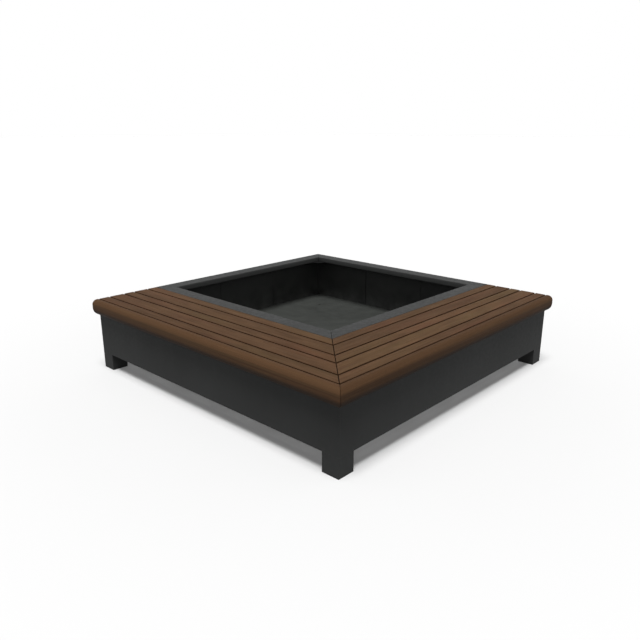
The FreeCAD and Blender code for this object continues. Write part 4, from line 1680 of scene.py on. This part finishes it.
@dataclass
class BoardFixings:
    """Screws, studs and nuts that hold the benches together.

    Attributes:
        body_half: Half of the square body's width.
        near: Distance of the planter's bench sides from the middle.
        underside: Height of the boards' underside.
        sheet: Thickness of the sheet.
        flange: Width of the casing's top flange.
        board_widths: Widths of the boards, front board first.
        first_gap: Gap in front of the first board.
        gap: Gap between boards.
        wide_offset: Distance of a wide board's two screws from its middle.
        mitre_setback: Distance of the last screw from the mitre.
        bearers: X of each bearer of the front bench.
        rounded_board_height: Height of the rounded board's screws.
        rounded_board_pitch: Distance between them.
        stud_height: Height of the bearers' studs.
        joint_heights: Heights of the end panel's studs.
        joint_flange: Width of the end panel's flange.
        shank: Radius and height of each point of a screw below its head.
    """

    body_half: float = 1.0
    near: float = 0.583
    underside: float = 0.41
    sheet: float = 0.003
    flange: float = 0.025
    board_widths: tuple[float, ...] = (0.064, 0.093, 0.064, 0.093, 0.064)
    first_gap: float = 0.0065
    gap: float = 0.008
    wide_offset: float = 0.025
    mitre_setback: float = 0.030
    bearers: tuple[float, ...] = (-0.640, -0.270, 0.100, 0.470)
    rounded_board_height: float = 0.385
    rounded_board_pitch: float = 0.300
    stud_height: float = 0.378
    joint_heights: tuple[float, ...] = (0.180, 0.320)
    joint_flange: float = 0.038
    shank: tuple[Pair, ...] = ((0.0025, 0.0), (0.0025, -0.030), (0.0, -0.033))

    def screw_lines(self) -> list[float]:
        """Distances from the body's face at which boards are screwed down.

        Returns:
            One distance for a narrow board, two for a wide one.
        """
        lines: list[float] = []
        edge = self.first_gap
        for width in self.board_widths:
            middle = edge + width / 2.0
            wide = width > min(self.board_widths)
            offset = self.wide_offset
            lines += [middle - offset, middle + offset] if wide else [middle]
            edge += width + self.gap
        return lines

    def both(self, places: Sequence[Stand]) -> list[Stand]:
        """Places and facings of the front bench with their twins on the right bench."""
        return [*places, *[(mirrored_point(p), mirrored_point(f)) for p, f in places]]

    def board_screws(self, shop: Workshop) -> bpy.types.Object:
        """Makes the screws under the boards.

        Args:
            shop: Recipes and finishes.

        Returns:
            The piece.
        """
        head = (
            (0.0, 0.003), (0.0030, 0.003), (0.0043, 0.0026), (0.0043, 0.0009), (0.0057, 0.0007),
            (0.006, 0.0),
        )
        section = (*head, *self.shank)
        screw = Turning("board_screw", section, flats=0.0075, hexagon=(0.0008, 0.0029), segments=18)
        places = []
        for line in self.screw_lines():
            y = -self.body_half + line
            outermost = -self.body_half + self.flange / 2.0
            xs = [outermost, *self.bearers, self.body_half - line - self.mitre_setback]
            places += [((x, y, self.underside - self.sheet), (0.0, 0.0, -1.0)) for x in xs]
        places = self.both(places)
        mesh = set_out(shop, screw, places, shop.finishes.zinc, free_turn=math.pi, seed=7)
        return deliver("board_screws", mesh, ["slat_screws"])

    def rounded_board_screws(self, shop: Workshop) -> bpy.types.Object:
        """Makes the screws behind the rounded boards.

        Args:
            shop: Recipes and finishes.

        Returns:
            The piece.
        """
        head = (
            (0.0, 0.0012), (0.0016, 0.0012), (0.0018, 0.0028), (0.0030, 0.003), (0.0046, 0.0022),
            (0.0057, 0.0010), (0.006, 0.0),
        )
        screw = Turning("rounded_board_screw", (*head, *self.shank), segments=18)
        y, z = -self.body_half + self.sheet, self.rounded_board_height
        xs = [self.rounded_board_pitch * step for step in range(-3, 4)]
        places = self.both([((x, y, z), (0.0, 1.0, 0.0)) for x in xs])
        mesh = set_out(shop, screw, places, shop.finishes.zinc, free_turn=math.pi, seed=8)
        return deliver("rounded_board_screws", mesh, ["bullnose_screws"])

    def stud_places(self, lift: float) -> list[Stand]:
        """Where the studs stand on the planter's walls.

        Args:
            lift: Distance from the wall.

        Returns:
            Places and facings on both benches.
        """
        x_joint = -self.body_half + (self.sheet + self.joint_flange) / 2.0
        spots = [(x_joint, z) for z in self.joint_heights]
        spots += [(x, self.stud_height) for x in self.bearers]
        return self.both([((x, -self.near - lift, z), (0.0, -1.0, 0.0)) for x, z in spots])

    def studs(self, shop: Workshop) -> list[bpy.types.Object]:
        """Makes the studs and their nuts.

        Args:
            shop: Recipes and finishes.

        Returns:
            The pieces.
        """
        rod = threaded_rod("stud", radius=0.004, length=0.020, pitch=0.00125)
        nut = hex_nut("stud_nut", flats=0.013, height=0.0065, bore=0.0037)
        zinc = shop.finishes.zinc
        rods = set_out(shop, rod, self.stud_places(0.0), zinc)
        nuts = set_out(shop, nut, self.stud_places(self.sheet), zinc, free_turn=0.5, seed=9)
        return [
            deliver("bench_studs", rods, ["wing_studs"]),
            deliver("bench_stud_nuts", nuts, ["wing_nuts"]),
        ]

    def build(self, shop: Workshop) -> list[bpy.types.Object]:
        """Every fixing of the benches, made and in place."""
        return [self.board_screws(shop), self.rounded_board_screws(shop), *self.studs(shop)]


@dataclass
class Standing:
    """Legs' anchor nuts, and the levelling feet under the floor beams.

    Attributes:
        leg_middle: Distance of each leg's middle from the body's middle lines.
        plate: Thickness of the base plates.
        beam_lines: Y of each floor beam.
        foot_line: X of the two feet under each beam, and of the one foot between them.
        pad_radius: Radius of a foot pad.
        pad_height: Height of a foot pad.
        nut_low: Height of the underside of a foot's nut.
        stem_top: Height of the top of a foot's stem.
    """

    leg_middle: float = 0.95
    plate: float = 0.008
    beam_lines: tuple[float, float, float] = (-0.443, 0.2085, 0.860)
    foot_line: tuple[float, float, float] = (-0.840, 0.423, -0.2085)
    pad_radius: float = 0.030
    pad_height: float = 0.015
    nut_low: float = 0.050
    stem_top: float = 0.091

    def foot_places(self, height: float) -> list[Stand]:
        """Places of the seven feet at a height, all upright.

        Args:
            height: Height of the part.

        Returns:
            Places and facings.
        """
        up = (0.0, 0.0, 1.0)
        places = [((x, y, height), up) for y in self.beam_lines for x in self.foot_line[:2]]
        return [*places, ((self.foot_line[2], self.beam_lines[1], height), up)]

    def feet(self, shop: Workshop) -> list[bpy.types.Object]:
        """Makes pads, stems and lock nuts.

        Args:
            shop: Recipes and finishes.

        Returns:
            The pieces.
        """
        r, h = self.pad_radius, self.pad_height
        ribs = [(r - 0.0012 * (step % 2), h * (0.12 + 0.055 * step)) for step in range(9)]
        section = (
            (0.0, 0.0), (r - 0.002, 0.0), (r, h * 0.08), *ribs,
            (r - 0.003, h * 0.74), (r * 0.55, h * 0.92), (r * 0.42, h), (0.0, h),
        )
        pad = Turning("foot_pad", section, segments=48)
        stem_length = self.stem_top - self.pad_height
        stem = threaded_rod("foot_stem", radius=0.008, length=stem_length, pitch=0.002)
        nut = hex_nut("foot_nut", flats=0.024, height=0.013, bore=0.0076)
        zinc = shop.finishes.zinc
        pads = set_out(shop, pad, self.foot_places(0.0), shop.finishes.rubber)
        stems = set_out(shop, stem, self.foot_places(self.pad_height), zinc)
        nuts = set_out(shop, nut, self.foot_places(self.nut_low), zinc, free_turn=0.5, seed=10)
        return [
            deliver("foot_pads", pads, ["levelling_foot_pads"]),
            deliver("foot_stems", stems, ["levelling_foot_stems"]),
            deliver("foot_nuts", nuts, ["levelling_foot_nuts"]),
        ]

    def build(self, shop: Workshop) -> list[bpy.types.Object]:
        """Makes the feet and the anchor nuts.

        Args:
            shop: Recipes and finishes.

        Returns:
            The pieces.
        """
        nut = hex_nut("anchor_nut", flats=0.019, height=0.010, bore=0.0051)
        m = self.leg_middle
        places = [((x, y, self.plate), (0.0, 0.0, 1.0)) for x in (-m, m) for y in (-m, m)]
        nuts = set_out(shop, nut, places, shop.finishes.zinc)
        return [*self.feet(shop), deliver("anchor_nuts", nuts, ["anchor_weld_nuts"])]


@dataclass
class Steelwork:
    """Steel pieces that keep the shape of their solids, from the casing to the floor beams.

    Attributes:
        casing: Solids with the anthracite coat.
        tub: Walls of the planting tub.
        iron: Hidden bearers and beams.
    """

    casing: list[str] = field(
        default_factory=lambda: [
            *[f"{side.value}_skirt_panel" for side in BenchSide],
            "left_end_panel",
            "rear_end_panel",
            *[f"planter_wall_{side.value}" for side in RimSide],
            *[f"leg_{corner}" for corner in ("left", "near", "rear", "right")],
            "leg_base_plates",
        ]
    )
    tub: list[str] = field(default_factory=lambda: [f"lining_{side.value}" for side in RimSide])
    iron: list[str] = field(
        default_factory=lambda: [
            *[f"{side.value}_bearer_{number}" for side in BenchSide for number in range(1, 5)],
            "mitre_bearer",
            *[f"base_beam_{number}" for number in range(1, 4)],
        ]
    )

    def build(self, shop: Workshop) -> None:
        """Gives every solid its finish.

        Args:
            shop: Recipes and finishes.
        """
        repaint(self.casing, shop.finishes.casing)
        repaint(["rim_corner_gussets"], shop.finishes.corner)
        repaint(self.tub, shop.finishes.tub)
        # Black sealant behind the seams, and painted shade in the drain spouts.
        repaint(["lining_joint_strips", "drain_spouts"], shop.finishes.joint)
        repaint(["planter_floor"], shop.finishes.tub_floor)
        repaint(self.iron, shop.finishes.iron)


@dataclass
class Studio:
    """Plain pale floor, soft light and the camera.

    Attributes:
        floor_half: Half of the floor's width.
        sun_strength: Strength of the lamp above.
        sun_lean: How far the lamp leans towards the right and the front bench, as slopes.
        sun_width: Width of the lamp's disc, in degrees.
        camera_place: Where the camera stands.
        camera_turn: Its pitch and heading, in degrees.
        lens: Focal length, in millimetres.
        sensor: Width of the camera's sensor, in millimetres.
        far_clip: Distance up to which the camera sees.
        sky_levels: Brightness of the surroundings at heights from 0, the horizon, to 1, overhead.
    """

    floor_half: float = 120.0
    sun_strength: float = 4.92
    sun_lean: Pair = (0.170, 0.225)
    sun_width: float = 24.0
    camera_place: Point = (2.57271, -2.80501, 1.46171)
    camera_turn: Pair = (72.98, 43.01)
    lens: float = 35.08
    sensor: float = 36.0
    far_clip: float = 500.0
    sky_levels: tuple[Pair, ...] = (
        (0.0, 1.0), (0.36, 1.0), (0.62, 0.13), (0.75, 0.13), (0.95, 0.28),
    )

    def floor(self) -> bpy.types.Object:
        """Lays the floor.

        Returns:
            The floor.
        """
        h = self.floor_half
        corners = [(-h, -h, 0.0), (h, -h, 0.0), (h, h, 0.0), (-h, h, 0.0)]
        mesh = bpy.data.meshes.new("studio_floor")
        mesh.from_pydata(corners, [], [(0, 1, 2, 3)])
        mesh.materials.append(FloorPaint("studio_floor_paint").material())
        floor = bpy.data.objects.new("studio_floor", mesh)
        bpy.context.scene.collection.objects.link(floor)
        return floor

    def sky(self) -> None:
        """Makes the surrounding light: bright up from the horizon, dim above, brighter overhead."""
        world = bpy.data.worlds.new("studio_light")
        world.use_nodes = True
        bpy.context.scene.world = world
        sheet = NodeSheet(world.node_tree)
        world.node_tree.nodes.clear()
        direction = sheet.add("ShaderNodeTexCoord").outputs["Generated"]
        ramp = sheet.add("ShaderNodeValToRGB", {"Fac": sheet.split(direction)["Z"]})
        elements = ramp.color_ramp.elements
        for _ in self.sky_levels[2:]:
            elements.new(0.5)
        for element, (place, level) in zip(elements, self.sky_levels):
            element.position = place
            element.color = (level, level, level, 1.0)
        glow = sheet.add("ShaderNodeBackground", {"Color": ramp.outputs["Color"], "Strength": 1.0})
        sheet.add("ShaderNodeOutputWorld", {"Surface": glow.outputs[0]})

    def lamp(self) -> None:
        """Hangs the soft lamp above, leaning a little to the two bench sides."""
        light = bpy.data.lights.new("overhead", "SUN")
        light.energy = self.sun_strength
        light.angle = math.radians(self.sun_width)
        lamp = bpy.data.objects.new("overhead", light)
        to_right, to_front = self.sun_lean
        towards = Vector((to_right, -to_front, 1.0))
        lamp.rotation_euler = towards.to_track_quat("Z", "Y").to_euler()
        bpy.context.scene.collection.objects.link(lamp)

    def camera(self) -> None:
        """Sets up the camera at the photographed angle."""
        lens = bpy.data.cameras.new("camera")
        lens.lens = self.lens
        lens.sensor_width = self.sensor
        lens.clip_end = self.far_clip
        camera = bpy.data.objects.new("camera", lens)
        camera.location = self.camera_place
        pitch, heading = self.camera_turn
        camera.rotation_euler = (math.radians(pitch), 0.0, math.radians(heading))
        bpy.context.scene.collection.objects.link(camera)
        bpy.context.scene.camera = camera

    def build(self) -> None:
        """Sets up floor, light and camera."""
        self.floor()
        self.sky()
        self.lamp()
        self.camera()
        bpy.context.scene.view_settings.view_transform = "Standard"


def main() -> None:
    """Builds every sub-assembly in order."""
    logging.basicConfig(level=logging.INFO, format="%(name)s: %(message)s")
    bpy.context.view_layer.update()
    shop = Workshop.opened()
    Steelwork().build(shop)
    # The right rounded board is darker (0.82): painted shade for the weaker light on the right
    # bench.
    for side, seed, tone_seed, rounded_board_shading in (
        (BenchSide.FRONT, 11, 11306, 1.0),
        (BenchSide.RIGHT, 29, 5971, 0.82),
    ):
        TimberDeck(side, seed=seed, tone_seed=tone_seed).build(shop)
        RoundedBoard(side, tone=rounded_board_shading, seed=seed + 4).build(shop)
    PlanterRim().build(shop)
    BoardFixings().build(shop)
    Standing().build(shop)
    Studio().build()


if __name__ == "__main__":
    main()
